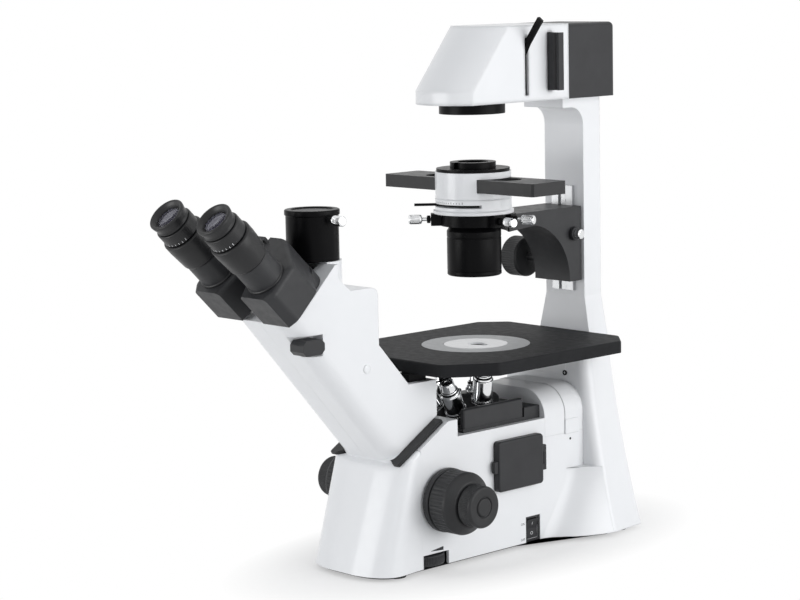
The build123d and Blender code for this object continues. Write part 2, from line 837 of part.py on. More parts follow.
with BuildPart() as fine_right:
    with BuildSketch(focus_section):
        Polygon(
            (fine_x, shaft_r),
            (fine_x, fine_r),
            (fine_x + fine_t - 2, fine_r),
            (fine_x + fine_t - 1, fine_r - 1.5),
            (fine_x + fine_t - 1, 9.5),
            (fine_x + fine_t - 2, 8.5),
            (fine_x + fine_t, 7.5),
            (fine_x + fine_t, 0),
            (fine_x + fine_t - 2, 0),
            (fine_x + fine_t - 2, shaft_r),
            align=None,
        )
    revolve(axis=focus_axis)
    with BuildSketch(focus_end.offset(fine_x + 2)):
        with PolarLocations(fine_r, grip_grooves):
            Circle(grip_groove_r - 0.5)
    extrude(amount=fine_t - 5, mode=Mode.SUBTRACT)
with BuildPart() as fine_left:
    mirror(fine_right.part, about=Plane.YZ)
    with BuildSketch(focus_end):
        Circle(shaft_r)
    extrude(amount=fine_x + fine_t - 2, both=True)
save(fine_right, "fine_knob_right")
save(fine_left, "fine_knob_left")

with BuildPart() as tension_ring:
    with BuildSketch(focus_end.offset(tension_x)):
        Circle(tension_r)
        Circle(boss_focus_r + run, mode=Mode.SUBTRACT)
    extrude(amount=tension_t)
save(tension_ring, "tension_ring")
with BuildPart() as lock_ring:
    mirror(tension_ring.part, about=Plane.YZ)
save(lock_ring, "lock_ring")

# Nosepiece: carriage in the recess, tilted turret on a spigot, objectives fanned about the turret axis
turret = Plane(
    origin=(0, axis_y + turret_y, turret_z),
    x_dir=(1, 0, 0),
    z_dir=(0, -sin(radians(turret_tilt)), cos(radians(turret_tilt))),
)
apex_drop = -turret_y / sin(radians(turret_tilt))
apex_z = turret_z - apex_drop * cos(radians(turret_tilt))
pocket_floor = -turret_t / 2 - 5
with BuildPart() as nosepiece_carriage:
    with BuildSketch(side):
        Polygon(
            (recess_front_y + gap, carriage_bottom_z),
            (recess_front_y + gap, carriage_top_z),
            (carriage_step_y, carriage_top_z),
            (carriage_step_y, carriage_rear_top_z),
            (arch_front_y - gap, carriage_rear_top_z),
            (arch_front_y - gap, carriage_bottom_z),
            align=None,
        )
    extrude(amount=recess_half - gap, both=True)
    with BuildSketch(turret.offset(pocket_floor)):
        Circle(turret_r + 2)
    extrude(amount=4 * turret_t, mode=Mode.SUBTRACT)
    with BuildSketch(turret.offset(pocket_floor)):
        Circle(turret_spigot_r)
    extrude(amount=-pocket_floor)
    with BuildSketch(optical.offset(carriage_bottom_z)):
        Circle(8)
    extrude(amount=turret_z - carriage_bottom_z, mode=Mode.SUBTRACT)
save(nosepiece_carriage, "nosepiece_carriage")

lean = radians(turret_tilt)
seat_reach = (turret_t / 2 + apex_drop + tan(lean) * (turret_r - 2)) * cos(lean)
turret_axis = Axis(turret.origin, turret.z_dir)
turret_section = Plane(origin=turret.origin, x_dir=(1, 0, 0), z_dir=-turret.y_dir)
hub_r = 9.0
objective_bore_r = 7.0
with BuildPart() as nosepiece_turret:
    with BuildSketch(turret_section):
        Polygon(
            (turret_spigot_r + run, pocket_floor + gap),
            (turret_r - 6, pocket_floor + gap),
            (turret_r - 6, -turret_t / 2),
            (turret_r, -turret_t / 2),
            (turret_r, turret_t / 2),
            (turret_r - 2, turret_t / 2),
            (hub_r, turret_t / 2 + tan(lean) * (turret_r - 2 - hub_r)),
            (0, turret_t / 2 + tan(lean) * (turret_r - 2 - hub_r)),
            (0, gap),
            (turret_spigot_r + run, gap),
            align=None,
        )
    revolve(axis=turret_axis)
    with BuildSketch(turret.offset(-turret_t / 2)):
        with PolarLocations(turret_r, 2 * grip_grooves):
            Circle(1)
    extrude(amount=turret_t, mode=Mode.SUBTRACT)
    for i in range(objective_count):
        with BuildPart(mode=Mode.PRIVATE) as bore:
            with BuildSketch(optical.offset(apex_z + apex_drop - 3 * turret_t)):
                Circle(objective_bore_r)
            extrude(amount=6 * turret_t)
        add(bore.part.rotate(turret_axis, i * 360 / objective_count), mode=Mode.SUBTRACT)
save(nosepiece_turret, "nosepiece_turret")

# Objectives, one upright on the optical axis and the others fanned around the turret
stub = 5.0
nose_r = 5.5
with BuildPart() as objectives:
    for i, reach in enumerate(objective_reach):
        with BuildPart(mode=Mode.PRIVATE) as barrel:
            with BuildSketch(front):
                Polygon(
                    (0, apex_z + seat_reach - stub),
                    (objective_bore_r - gap, apex_z + seat_reach - stub),
                    (objective_bore_r - gap, apex_z + seat_reach),
                    (objective_r, apex_z + seat_reach),
                    (objective_r, apex_z + reach - 14),
                    (objective_r - 2.5, apex_z + reach - 9),
                    (nose_r + 1, apex_z + reach - 2),
                    (nose_r, apex_z + reach),
                    (0, apex_z + reach),
                    align=None,
                )
            revolve(axis=optical_axis)
        add(barrel.part.rotate(turret_axis, i * 360 / objective_count))
save(objectives, "objectives")

# Condenser: rails and rack on the pillar
with BuildPart() as condenser_rails:
    with BuildSketch(optical.offset(rail_z)):
        with Locations((rail_inner, pillar_front_y)):
            Rectangle(rail_outer - rail_inner, rail_t, align=(Align.MIN, Align.MAX))
        with Locations((-rail_inner, pillar_front_y)):
            Rectangle(rail_outer - rail_inner, rail_t, align=(Align.MAX, Align.MAX))
        with Locations((0, pillar_front_y)):
            Rectangle(2 * rack_half, rail_t / 2, align=(Align.CENTER, Align.MAX))
    extrude(amount=rail_len)
save(condenser_rails, "condenser_rails")

# Carrier: arched arm that rides on the rails and holds the mount ring
arm_low_z = 310.0
with BuildPart() as condenser_carrier:
    with BuildSketch(side):
        with BuildLine():
            Polyline(
                (62, arm_low_z + 3),
                (mount_r - 8, arm_low_z),
                (mount_r - 8, carrier_top_z),
                (carrier_rear_y, carrier_top_z),
                (carrier_rear_y, carrier_bottom_z),
                (112, carrier_bottom_z),
            )
            ThreePointArc((112, carrier_bottom_z), (99, 291), (62, arm_low_z + 3))
        make_face()
    extrude(amount=carrier_half, both=True)
    with BuildSketch(optical.offset(carrier_bottom_z)):
        Circle(mount_r + gap)
        with Locations((0, carrier_rear_y)):
            Rectangle(
                2 * (rail_outer + gap),
                rail_t - (pillar_front_y - carrier_rear_y) + gap,
                align=(Align.CENTER, Align.MAX),
            )
    extrude(amount=carrier_top_z - carrier_bottom_z, mode=Mode.SUBTRACT)
    with BuildSketch(side):
        with Locations((wheel_y, wheel_z)):
            Circle(wheel_shaft_r + run)
    extrude(amount=-carrier_half, mode=Mode.SUBTRACT)
    with BuildSketch(side):
        with Locations((clamp_y, clamp_z)):
            Circle(clamp_shaft_r + run)
    extrude(amount=carrier_half, mode=Mode.SUBTRACT)
save(condenser_carrier, "condenser_carrier")

with BuildPart() as carrier_wheel:
    with BuildSketch(side.offset(-wheel_x)):
        with Locations((wheel_y, wheel_z)):
            Circle(wheel_r)
            with PolarLocations(wheel_r, grip_grooves):
                Circle(1, mode=Mode.SUBTRACT)
    extrude(amount=-wheel_t)
    chamfer(carrier_wheel.faces().sort_by(Axis.X)[0].outer_wire().edges(), length=0.6)
    with BuildSketch(side.offset(-gap)):
        with Locations((wheel_y, wheel_z)):
            Circle(wheel_shaft_r)
    extrude(amount=-wheel_x)
save(carrier_wheel, "carrier_wheel")

with BuildPart() as carrier_clamp_screw:
    with BuildSketch(side.offset(carrier_half + gap)):
        with Locations((clamp_y, clamp_z)):
            Circle(clamp_r)
    extrude(amount=clamp_t)
    with BuildSketch(side.offset(gap)):
        with Locations((clamp_y, clamp_z)):
            Circle(clamp_shaft_r)
    extrude(amount=carrier_half)
save(carrier_clamp_screw, "carrier_clamp_screw")

# Mount ring with a block for each centring screw
with BuildPart() as condenser_mount:
    with BuildSketch(optical.offset(drum_z - mount_t)):
        Circle(mount_r)
        for angle in centring_angles:
            with Locations(Location((0, 0), angle)):
                with Locations((screw_block_x / 2, 0)):
                    Rectangle(screw_block_x, screw_block_w)
        Circle(lens_neck_r + gap, mode=Mode.SUBTRACT)
    extrude(amount=mount_t - gap)
    for angle in centring_angles:
        screw_end = Plane(
            origin=(0, axis_y, screw_z),
            x_dir=(-sin(radians(angle)), cos(radians(angle)), 0),
            z_dir=(cos(radians(angle)), sin(radians(angle)), 0),
        )
        with BuildSketch(screw_end.offset(lens_neck_r)):
            Circle(screw_shaft_r + run)
        extrude(amount=screw_block_x, mode=Mode.SUBTRACT)
save(condenser_mount, "condenser_mount")

for angle, label in zip(centring_angles, ("left", "front", "right")):
    screw_end = Plane(
        origin=(0, axis_y, screw_z),
        x_dir=(-sin(radians(angle)), cos(radians(angle)), 0),
        z_dir=(cos(radians(angle)), sin(radians(angle)), 0),
    )
    with BuildPart() as centring_screw:
        with BuildSketch(screw_end.offset(lens_neck_r + 2 * gap)):
            Circle(screw_shaft_r)
        extrude(amount=screw_knob_x - lens_neck_r)
        with BuildSketch(screw_end.offset(screw_knob_x)):
            Circle(screw_knob_r)
        extrude(amount=screw_knob_t)
    save(centring_screw, f"centring_screw_{label}")

# White drum with the slot of the phase slider and the cavity of the iris
with BuildPart() as condenser_drum:
    with BuildSketch(front):
        Polygon(
            (drum_bore_r, drum_z),
            (drum_r + 2, drum_z),
            (drum_r + 2, drum_z + 3),
            (drum_r, drum_z + 4),
            (drum_r, drum_seam_z - 0.6),
            (drum_r - 0.8, drum_seam_z),
            (drum_r - 0.2, drum_seam_z + 0.6),
            (drum_r - 0.2, drum_top_z),
            (drum_bore_r, drum_top_z),
            align=None,
        )
    revolve(axis=optical_axis)
    with BuildSketch(optical.offset(slider_z - gap)):
        Rectangle(3 * drum_r, 2 * (slider_half_y + gap))
    extrude(amount=slider_t + 2 * gap, mode=Mode.SUBTRACT)
    with BuildSketch(optical.offset(iris_z - iris_t / 2 - gap)):
        Circle(iris_ring_r + gap)
        with BuildLine():
            rim = CenterArc((0, 0), drum_r + 5, iris_slot_from, iris_slot_to - iris_slot_from)
            Line(rim @ 1, (0, 0))
            Line((0, 0), rim @ 0)
        make_face()
    extrude(amount=iris_t + 2 * gap, mode=Mode.SUBTRACT)
save(condenser_drum, "condenser_drum")

lever_len = 58.0
lever_w = 3.5
with BuildPart() as iris_lever:
    with BuildSketch(optical.offset(iris_z - iris_t / 2)):
        Circle(iris_ring_r)
        with Locations(Location((0, 0), iris_rest)):
            with Locations((lever_len / 2, 0)):
                Rectangle(lever_len, lever_w)
        Circle(drum_bore_r + 3, mode=Mode.SUBTRACT)
    extrude(amount=iris_t)
save(iris_lever, "iris_lever")

with BuildPart() as phase_slider:
    with BuildSketch(optical.offset(slider_z)):
        Rectangle(2 * slider_half_x, 2 * slider_half_y)
        with GridLocations(slider_pitch, 1, 3, 1):
            Circle(drum_bore_r, mode=Mode.SUBTRACT)
    extrude(amount=slider_t)
    chamfer(phase_slider.edges().filter_by(Axis.Z).sort_by_distance((0, axis_y, slider_z))[-4:], length=2)
save(phase_slider, "phase_slider")

notch_w = 8.0
with BuildPart() as drum_cap:
    with BuildSketch(optical.offset(drum_top_z)):
        Circle(cap_r)
    extrude(amount=cap_t)
    with BuildSketch(optical.offset(drum_top_z + cap_t)):
        Circle(cap_boss_r)
    extrude(amount=cap_boss_t)
    with BuildSketch(optical.offset(drum_top_z)):
        Circle(drum_bore_r)
    extrude(amount=cap_t + cap_boss_t, mode=Mode.SUBTRACT)
    with BuildSketch(optical.offset(drum_top_z + cap_t)):
        with Locations((0, -cap_boss_r)):
            Rectangle(notch_w, notch_w)
    extrude(amount=cap_boss_t, mode=Mode.SUBTRACT)
save(drum_cap, "drum_cap")

with BuildPart() as lens_tube:
    with BuildSketch(front):
        Polygon(
            (lens_bore_r, lens_tube_z),
            (lens_tube_r - 1, lens_tube_z),
            (lens_tube_r, lens_tube_z + 1),
            (lens_tube_r, lens_tube_top_z),
            (lens_neck_r, lens_tube_top_z + 4),
            (lens_neck_r, drum_z - gap),
            (lens_bore_r, drum_z - gap),
            align=None,
        )
    revolve(axis=optical_axis)
save(lens_tube, "lens_tube")

lens_z = lens_tube_z + 4
with BuildPart() as condenser_lens:
    with BuildSketch(front):
        with BuildLine():
            Polyline((lens_bore_r, lens_z), (lens_bore_r, lens_z + 6), (0, lens_z + 6), (0, lens_z - 3))
            ThreePointArc((0, lens_z - 3), (lens_bore_r / 2, lens_z - 2.2), (lens_bore_r, lens_z))
        make_face()
    revolve(axis=optical_axis)
save(condenser_lens, "condenser_lens")


# Lamp house: a bowed front that leans back above its knee, carried obliquely
def lamp_block(inset, floor_z, top_z, rear_y):
    """Solid of the lamp house drawn in by inset, from floor_z to top_z, cut square at rear_y."""
    half = lamp_half - inset
    crease = lamp_crease_y + inset
    lift = Vector(0, cos(radians(lamp_slope)), sin(radians(lamp_slope)))
    with BuildPart() as block:
        for z, height, heading in (
            (floor_z, lamp_knee_z - floor_z, Vector(0, 0, 1)),
            (lamp_knee_z, (top_z - lamp_knee_z) / lift.Z, lift),
        ):
            with BuildSketch(optical.offset(z)):
                with BuildLine():
                    ThreePointArc((-half, crease), (0, lamp_apex_y + inset), (half, crease))
                    Polyline((half, crease), (half, rear_y), (-half, rear_y), (-half, crease))
                make_face()
            extrude(amount=height, dir=heading)
        with BuildSketch(front.offset(-rear_y)):
            with Locations((0, (lamp_z + lamp_top_z) / 2)):
                Rectangle(4 * lamp_half, 4 * (lamp_top_z - lamp_z))
        extrude(amount=-2 * (lamp_top_z - lamp_z), mode=Mode.SUBTRACT)
    return block.part


tray_rear_y = column_rear_y
with BuildPart() as lamp_house:
    add(lamp_block(0, lamp_z, lamp_top_z, lamp_rear_y))
    add(
        lamp_block(lamp_wall, lamp_z + lamp_wall, lamp_top_z - lamp_wall, lamp_rear_y + lamp_wall),
        mode=Mode.SUBTRACT,
    )
    # Floor tray that reaches back over the lamp arm, under the rear cap
    with BuildSketch(optical.offset(lamp_z)):
        with Locations((0, lamp_rear_y - lamp_wall)):
            Rectangle(
                2 * (lamp_half - lamp_wall - gap),
                tray_rear_y - lamp_rear_y + lamp_wall,
                align=(Align.CENTER, Align.MIN),
            )
    extrude(amount=lamp_wall)
    with BuildSketch(optical.offset(lamp_z)):
        Circle(collector_spigot_r)
    extrude(amount=lamp_wall, mode=Mode.SUBTRACT)
    # Boss of the swing filter's pin, then the slots in the right wall
    with BuildSketch(front.offset(-(swing_slot_y - swing_t / 2 - gap))):
        with Locations((swing_pivot_x, lamp_z)):
            Rectangle(8, 2 * (swing_pivot_z - lamp_z), align=(Align.CENTER, Align.CENTER))
        with Locations((swing_pivot_x, swing_pivot_z)):
            Circle(4)
        with Locations((swing_pivot_x, lamp_z)):
            Rectangle(8, 4 * swing_pivot_z, align=(Align.CENTER, Align.MAX), mode=Mode.SUBTRACT)
    extrude(amount=6)
    with BuildSketch(front.offset(-swing_slot_y)):
        with Locations((swing_pivot_x, swing_pivot_z)):
            Circle(swing_pin_r + run)
    extrude(amount=9, mode=Mode.SUBTRACT)
    with BuildSketch(side.offset(lamp_half)):
        with Locations((swing_slot_y, (swing_slot_z + swing_slot_top) / 2)):
            Rectangle(swing_slot_w, swing_slot_top - swing_slot_z)
        with Locations((drawer_y, drawer_z + drawer_h / 2)):
            Rectangle(drawer_t + 2 * gap, drawer_h + 2 * gap)
    extrude(amount=-2 * lamp_wall, mode=Mode.SUBTRACT)
save(lamp_house, "lamp_house")

vent_count = 6
vent_w = 48.0
vent_h = 4.0
with BuildPart() as lamp_rear_cap:
    with BuildSketch(optical.offset(lamp_z)) as cap_plan:
        with Locations((0, lamp_rear_y)):
            Rectangle(2 * lamp_half, cap_rear_y - lamp_rear_y, align=(Align.CENTER, Align.MIN))
        fillet(cap_plan.vertices().group_by(Axis.Y)[-1], radius=6)
    extrude(amount=lamp_top_z - lamp_z)
    fillet(lamp_rear_cap.edges().filter_by(Axis.Y).group_by(Axis.Z)[-1], radius=5)
    with BuildSketch(optical.offset(lamp_z)):
        with Locations((0, lamp_rear_y)):
            Rectangle(
                2 * (lamp_half - lamp_wall),
                cap_rear_y - lamp_rear_y - lamp_wall,
                align=(Align.CENTER, Align.MIN),
            )
    extrude(amount=lamp_top_z - lamp_z - lamp_wall, mode=Mode.SUBTRACT)
    with BuildSketch(front.offset(-cap_rear_y)):
        with Locations((0, (lamp_z + lamp_top_z) / 2)):
            with GridLocations(1, 2.2 * vent_h, 1, vent_count):
                SlotOverall(vent_w, vent_h)
    extrude(amount=2 * lamp_wall, mode=Mode.SUBTRACT)
save(lamp_rear_cap, "lamp_rear_cap")

with BuildPart() as collector_ring:
    with BuildSketch(optical.offset(collector_z)):
        Circle(collector_r)
    extrude(amount=lamp_z - collector_z)
    with BuildSketch(optical.offset(lamp_z)):
        Circle(collector_spigot_r - gap)
    extrude(amount=lamp_wall)
    with BuildSketch(optical.offset(collector_z)):
        Circle(collector_bore_r)
    extrude(amount=lamp_z - collector_z + lamp_wall, mode=Mode.SUBTRACT)
save(collector_ring, "collector_ring")

with BuildPart() as collector_lens:
    with BuildSketch(front):
        with BuildLine():
            Polyline(
                (collector_bore_r - gap, collector_z + 5),
                (collector_bore_r - gap, collector_z + 9),
                (0, collector_z + 9),
                (0, collector_z + 2),
            )
            ThreePointArc(
                (0, collector_z + 2),
                (collector_bore_r / 2, collector_z + 2.8),
                (collector_bore_r - gap, collector_z + 5),
            )
        make_face()
    revolve(axis=optical_axis)
save(collector_lens, "collector_lens")

mirror_plane = Plane(origin=(0, axis_y, beam_z), x_dir=(1, 0, 0), z_dir=(0, 1, -1))
with BuildPart() as lamp_mirror:
    with BuildSketch(mirror_plane):
        Rectangle(2 * (lamp_half - lamp_wall - gap), 52)
    extrude(amount=-3)
save(lamp_mirror, "lamp_mirror")

socket_y = 118.0
bulb_r = 6.0
bulb_len = 16.0
with BuildPart() as lamp_socket:
    with BuildSketch(front.offset(-socket_y)):
        with Locations((0, lamp_z + lamp_wall)):
            Rectangle(20, beam_z - lamp_z + 8, align=(Align.CENTER, Align.MIN))
    extrude(amount=-14)
    with BuildSketch(front.offset(-socket_y)):
        with Locations((-2.5, beam_z), (2.5, beam_z)):
            Circle(0.8)
    extrude(amount=-8, mode=Mode.SUBTRACT)
save(lamp_socket, "lamp_socket")

with BuildPart() as lamp_bulb:
    with BuildSketch(front.offset(-socket_y)):
        with Locations((0, beam_z)):
            Circle(bulb_r)
    extrude(amount=bulb_len)
    fillet(lamp_bulb.edges().group_by(Axis.Y)[0], radius=bulb_r - 1)
    with BuildSketch(front.offset(-socket_y)):
        with Locations((-2.5, beam_z), (2.5, beam_z)):
            Circle(0.6)
    extrude(amount=-7)
save(lamp_bulb, "lamp_bulb")

# Swing filter: a lever through the side slot and a glass frame on the other arm of its pin
swing_angle = 55.0
filter_r = 12.0
frame_turn = radians(swing_angle)
in_x = -swing_pivot_x
in_z = beam_z - swing_pivot_z
frame_x = swing_pivot_x + in_x * cos(frame_turn) - in_z * sin(frame_turn)
frame_z = swing_pivot_z + in_x * sin(frame_turn) + in_z * cos(frame_turn)
with BuildPart() as swing_filter:
    with BuildSketch(front.offset(-swing_slot_y - swing_t / 2)):
        with BuildLine():
            Polyline(
                (frame_x, frame_z),
                (swing_pivot_x, swing_pivot_z),
                (lamp_half + 1.5, swing_slot_top - 5),
                (lamp_half + 19, swing_slot_top + 18),
            )
        trace(line_width=6)
        with Locations((frame_x, frame_z)):
            Circle(filter_r)
    extrude(amount=swing_t)
    with BuildSketch(front.offset(-swing_slot_y)):
        with Locations((swing_pivot_x, swing_pivot_z)):
            Circle(swing_pin_r)
    extrude(amount=8)
save(swing_filter, "swing_filter")

with BuildPart() as filter_drawer:
    with BuildSketch(front.offset(-drawer_y - drawer_t / 2)):
        with Locations((drawer_grip_x, drawer_z)):
            Rectangle(
                drawer_grip_x + lamp_half - lamp_wall - 2, drawer_h, align=(Align.MAX, Align.MIN)
            )
        with Locations((0, beam_z)):
            Circle(20, mode=Mode.SUBTRACT)
    extrude(amount=drawer_t)
    groove_x = drawer_grip_x - 5
    with BuildSketch(optical.offset(drawer_z)):
        for hand in (1, -1):
            edge = drawer_y + hand * drawer_t / 2
            Polygon(
                (groove_x - 2, edge), (groove_x + 2, edge), (groove_x, edge - hand * 2), align=None
            )
    extrude(amount=drawer_h, mode=Mode.SUBTRACT)
save(filter_drawer, "filter_drawer")

# Fold mirror under the nosepiece, as a wedge on the bottom plate
with BuildPart() as fold_mirror:
    with BuildSketch(side):
        Polygon((-18, 57), (18, 93), (24, 93), (24, casting_z), (-18, casting_z), align=None)
    extrude(amount=18, both=True)
save(fold_mirror, "fold_mirror")

# Side cover, swinging on a hinge at its rear edge
hinge_y = cover_rear_y + 4
hinge_x = waist_half + 3.2
hinge_z = cover_z + cover_h / 2
lug_h = 12.0
ear_h = 6.0
ear_r = 3.0
with BuildPart() as side_cover:
    with BuildSketch(side.offset(waist_half + gap)):
        with Locations(((cover_front_y + cover_rear_y) / 2, hinge_z)):
            RectangleRounded(cover_rear_y - cover_front_y, cover_h, 4)
    extrude(amount=cover_t)
    fillet(side_cover.edges().group_by(Axis.X)[-1], radius=2)
    for z in (hinge_z - lug_h / 2 - gap - ear_h, hinge_z + lug_h / 2 + gap):
        with BuildSketch(optical.offset(z)):
            with Locations((hinge_x, hinge_y)):
                Circle(ear_r)
            with Locations((hinge_x, hinge_y)):
                Rectangle(2 * ear_r, 8, align=(Align.CENTER, Align.MAX))
        extrude(amount=ear_h)
        with BuildSketch(optical.offset(z)):
            with Locations((hinge_x, hinge_y)):
                Circle(hinge_pin_r + run)
        extrude(amount=ear_h, mode=Mode.SUBTRACT)
    with BuildSketch(side.offset(waist_half + gap + 2)):
        with Locations((cover_front_y, hinge_z)):
            RectangleRounded(9, 12, 2)
    extrude(amount=4)
save(side_cover, "side_cover")

with BuildPart() as cover_hinge:
    with BuildSketch(optical.offset(hinge_z - lug_h / 2)):
        with Locations((waist_half, hinge_y)):
            Rectangle(hinge_x - waist_half, 2 * ear_r, align=(Align.MIN, Align.CENTER))
        with Locations((hinge_x, hinge_y)):
            Circle(ear_r)
    extrude(amount=lug_h)
    with BuildSketch(optical.offset(hinge_z - lug_h / 2 - ear_h)):
        with Locations((hinge_x, hinge_y)):
            Circle(hinge_pin_r)
    extrude(amount=lug_h + 2 * ear_h)
save(cover_hinge, "cover_hinge")

# Rocker switch, resting with its lower half pressed in
rocker_x = waist_half - 4
rocker_plane = Plane(
    origin=(rocker_x, axis_y + rocker_y, rocker_z),
    x_dir=(cos(radians(rocker_tilt)), 0, -sin(radians(rocker_tilt))),
    z_dir=(0, -1, 0),
)
with BuildPart() as rocker_switch:
    with BuildSketch(rocker_plane):
        Polygon(
            (-4, -rocker_h / 2 + 1.5),
            (-4, rocker_h / 2 - 1.5),
            (3, rocker_h / 2),
            (1.8, 0),
            (3, -rocker_h / 2),
            align=None,
        )
    extrude(amount=rocker_w / 2, both=True)
save(rocker_switch, "rocker_switch")

with BuildPart() as dimmer_wheel:
    with BuildSketch(optical.offset(dimmer_z)):
        with Locations((dimmer_x, dimmer_y)):
            Circle(dimmer_r)
            Circle(2.5 + run, mode=Mode.SUBTRACT)
            with PolarLocations(dimmer_r, 2 * grip_grooves):
                Circle(0.7, mode=Mode.SUBTRACT)
    extrude(amount=dimmer_t)
save(dimmer_wheel, "dimmer_wheel")

# Mains inlet with its three pins, set into the back of the foot
with BuildPart() as power_inlet:
    with BuildSketch(front.offset(-column_rear_y)):
        with Locations((0, inlet_z)):
            Rectangle(inlet_w, inlet_h)
    extrude(amount=inlet_depth)
    with BuildSketch(front.offset(-column_rear_y)) as mouth:
        with Locations((0, inlet_z)):
            Rectangle(24, 16.5)
        chamfer(mouth.vertices().group_by(Axis.Y)[-1], length=4)
    extrude(amount=inlet_depth - 4, mode=Mode.SUBTRACT)
    with BuildSketch(front.offset(-column_rear_y + inlet_depth - 4)):
        with Locations((-7, inlet_z - 2), (0, inlet_z + 2), (7, inlet_z - 2)):
            Rectangle(2, 4)
    extrude(amount=-(inlet_depth - 7))
save(power_inlet, "power_inlet")
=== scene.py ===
"""Looks of an inverted microscope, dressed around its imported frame.

Lengths in the fields are millimetres, Y counted from the optical axis, as in
the part's source. Meshes are written in metres in the shared frame.
"""

from __future__ import annotations

import json
import logging
import math
from dataclasses import dataclass, replace
from enum import Enum

import bmesh
import bpy
import numpy as np
from mathutils import Matrix

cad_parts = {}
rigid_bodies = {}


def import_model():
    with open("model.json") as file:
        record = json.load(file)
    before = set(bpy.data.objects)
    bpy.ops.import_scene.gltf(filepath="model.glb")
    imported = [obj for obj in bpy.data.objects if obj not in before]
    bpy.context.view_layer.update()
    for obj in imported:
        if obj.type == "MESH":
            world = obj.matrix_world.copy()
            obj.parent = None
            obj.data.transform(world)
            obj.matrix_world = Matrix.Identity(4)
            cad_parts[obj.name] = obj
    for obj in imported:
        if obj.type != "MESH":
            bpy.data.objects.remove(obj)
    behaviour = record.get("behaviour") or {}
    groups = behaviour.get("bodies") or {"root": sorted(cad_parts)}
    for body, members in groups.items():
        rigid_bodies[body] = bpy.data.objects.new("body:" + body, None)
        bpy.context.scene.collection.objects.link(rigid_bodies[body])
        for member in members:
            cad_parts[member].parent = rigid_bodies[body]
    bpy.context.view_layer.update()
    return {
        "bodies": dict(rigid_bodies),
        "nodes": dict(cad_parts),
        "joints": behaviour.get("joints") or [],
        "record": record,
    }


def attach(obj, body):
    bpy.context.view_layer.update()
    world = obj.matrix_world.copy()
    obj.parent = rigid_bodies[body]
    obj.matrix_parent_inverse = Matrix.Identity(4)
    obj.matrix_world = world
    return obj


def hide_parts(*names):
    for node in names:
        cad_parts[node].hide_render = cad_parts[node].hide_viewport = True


log = logging.getLogger("microscope")

MM = 0.001
OPTICAL_Y = 98.0
FORWARD = (0.0, -1.0, 0.0)

# Metres within which points merge, and under which an edge is dropped
MERGE, SLIVER = 1e-6, 1e-7
# Degrees above which an edge stays sharp on a made piece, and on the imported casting
MADE_EDGE, CAST_EDGE = 38.0, 25.0

Vec = tuple[float, float, float]
Pair = tuple[float, float]
Line = tuple[Pair, ...]
Socket = bpy.types.NodeSocket


class Grain(Enum):
    """Kinds of fine relief: cycles per metre, octaves, depth in metres and the share of it that shows."""

    PEEL = (620.0, 1.0, 0.00005, 0.12)
    SPARK = (2600.0, 2.0, 0.00006, 0.35)
    CRACKLE = (1100.0, 0.0, 0.00012, 0.4)
    TURNED = (900.0, 2.0, 0.00003, 0.14)
    SMOOTH = (300.0, 1.0, 0.00002, 0.05)


class Nodes:
    """Short calls for a node tree."""

    def __init__(self, tree: bpy.types.NodeTree) -> None:
        """Take over a tree and empty it."""
        self.tree = tree
        tree.nodes.clear()

    def add(self, kind: str, operation: str = "", **inputs: object) -> bpy.types.Node:
        """Add a node and set its named inputs.

        Args:
            kind: Blender's name of the node type, without its common start.
            operation: What a math node does.
            inputs: Socket values, with underscores for spaces.

        Returns:
            The new node.
        """
        node = self.tree.nodes.new(f"ShaderNode{kind}")
        if operation:
            node.operation = operation
        for key, value in inputs.items():
            node.inputs[key.replace("_", " ")].default_value = value
        return node

    def join(self, source: Socket, target: Socket) -> None:
        """Link an output to an input."""
        self.tree.links.new(source, target)

    def seen(self) -> Socket:
        """Factor that is 1 for rays from the camera, off gloss and through glass."""
        rays = self.add("LightPath")
        total = rays.outputs["Is Camera Ray"]
        for other in ("Is Glossy Ray", "Is Transmission Ray"):
            node = self.add("Math", "MAXIMUM")
            self.join(total, node.inputs[0])
            self.join(rays.outputs[other], node.inputs[1])
            total = node.outputs[0]
        return total

    def mix(self, share: Socket, first: bpy.types.Node, second: bpy.types.Node) -> Socket:
        """Shader that goes from the first node's to the second node's by a share."""
        node = self.add("MixShader")
        for place, source in enumerate((share, first.outputs[0], second.outputs[0])):
            self.join(source, node.inputs[place])
        return node.outputs[0]


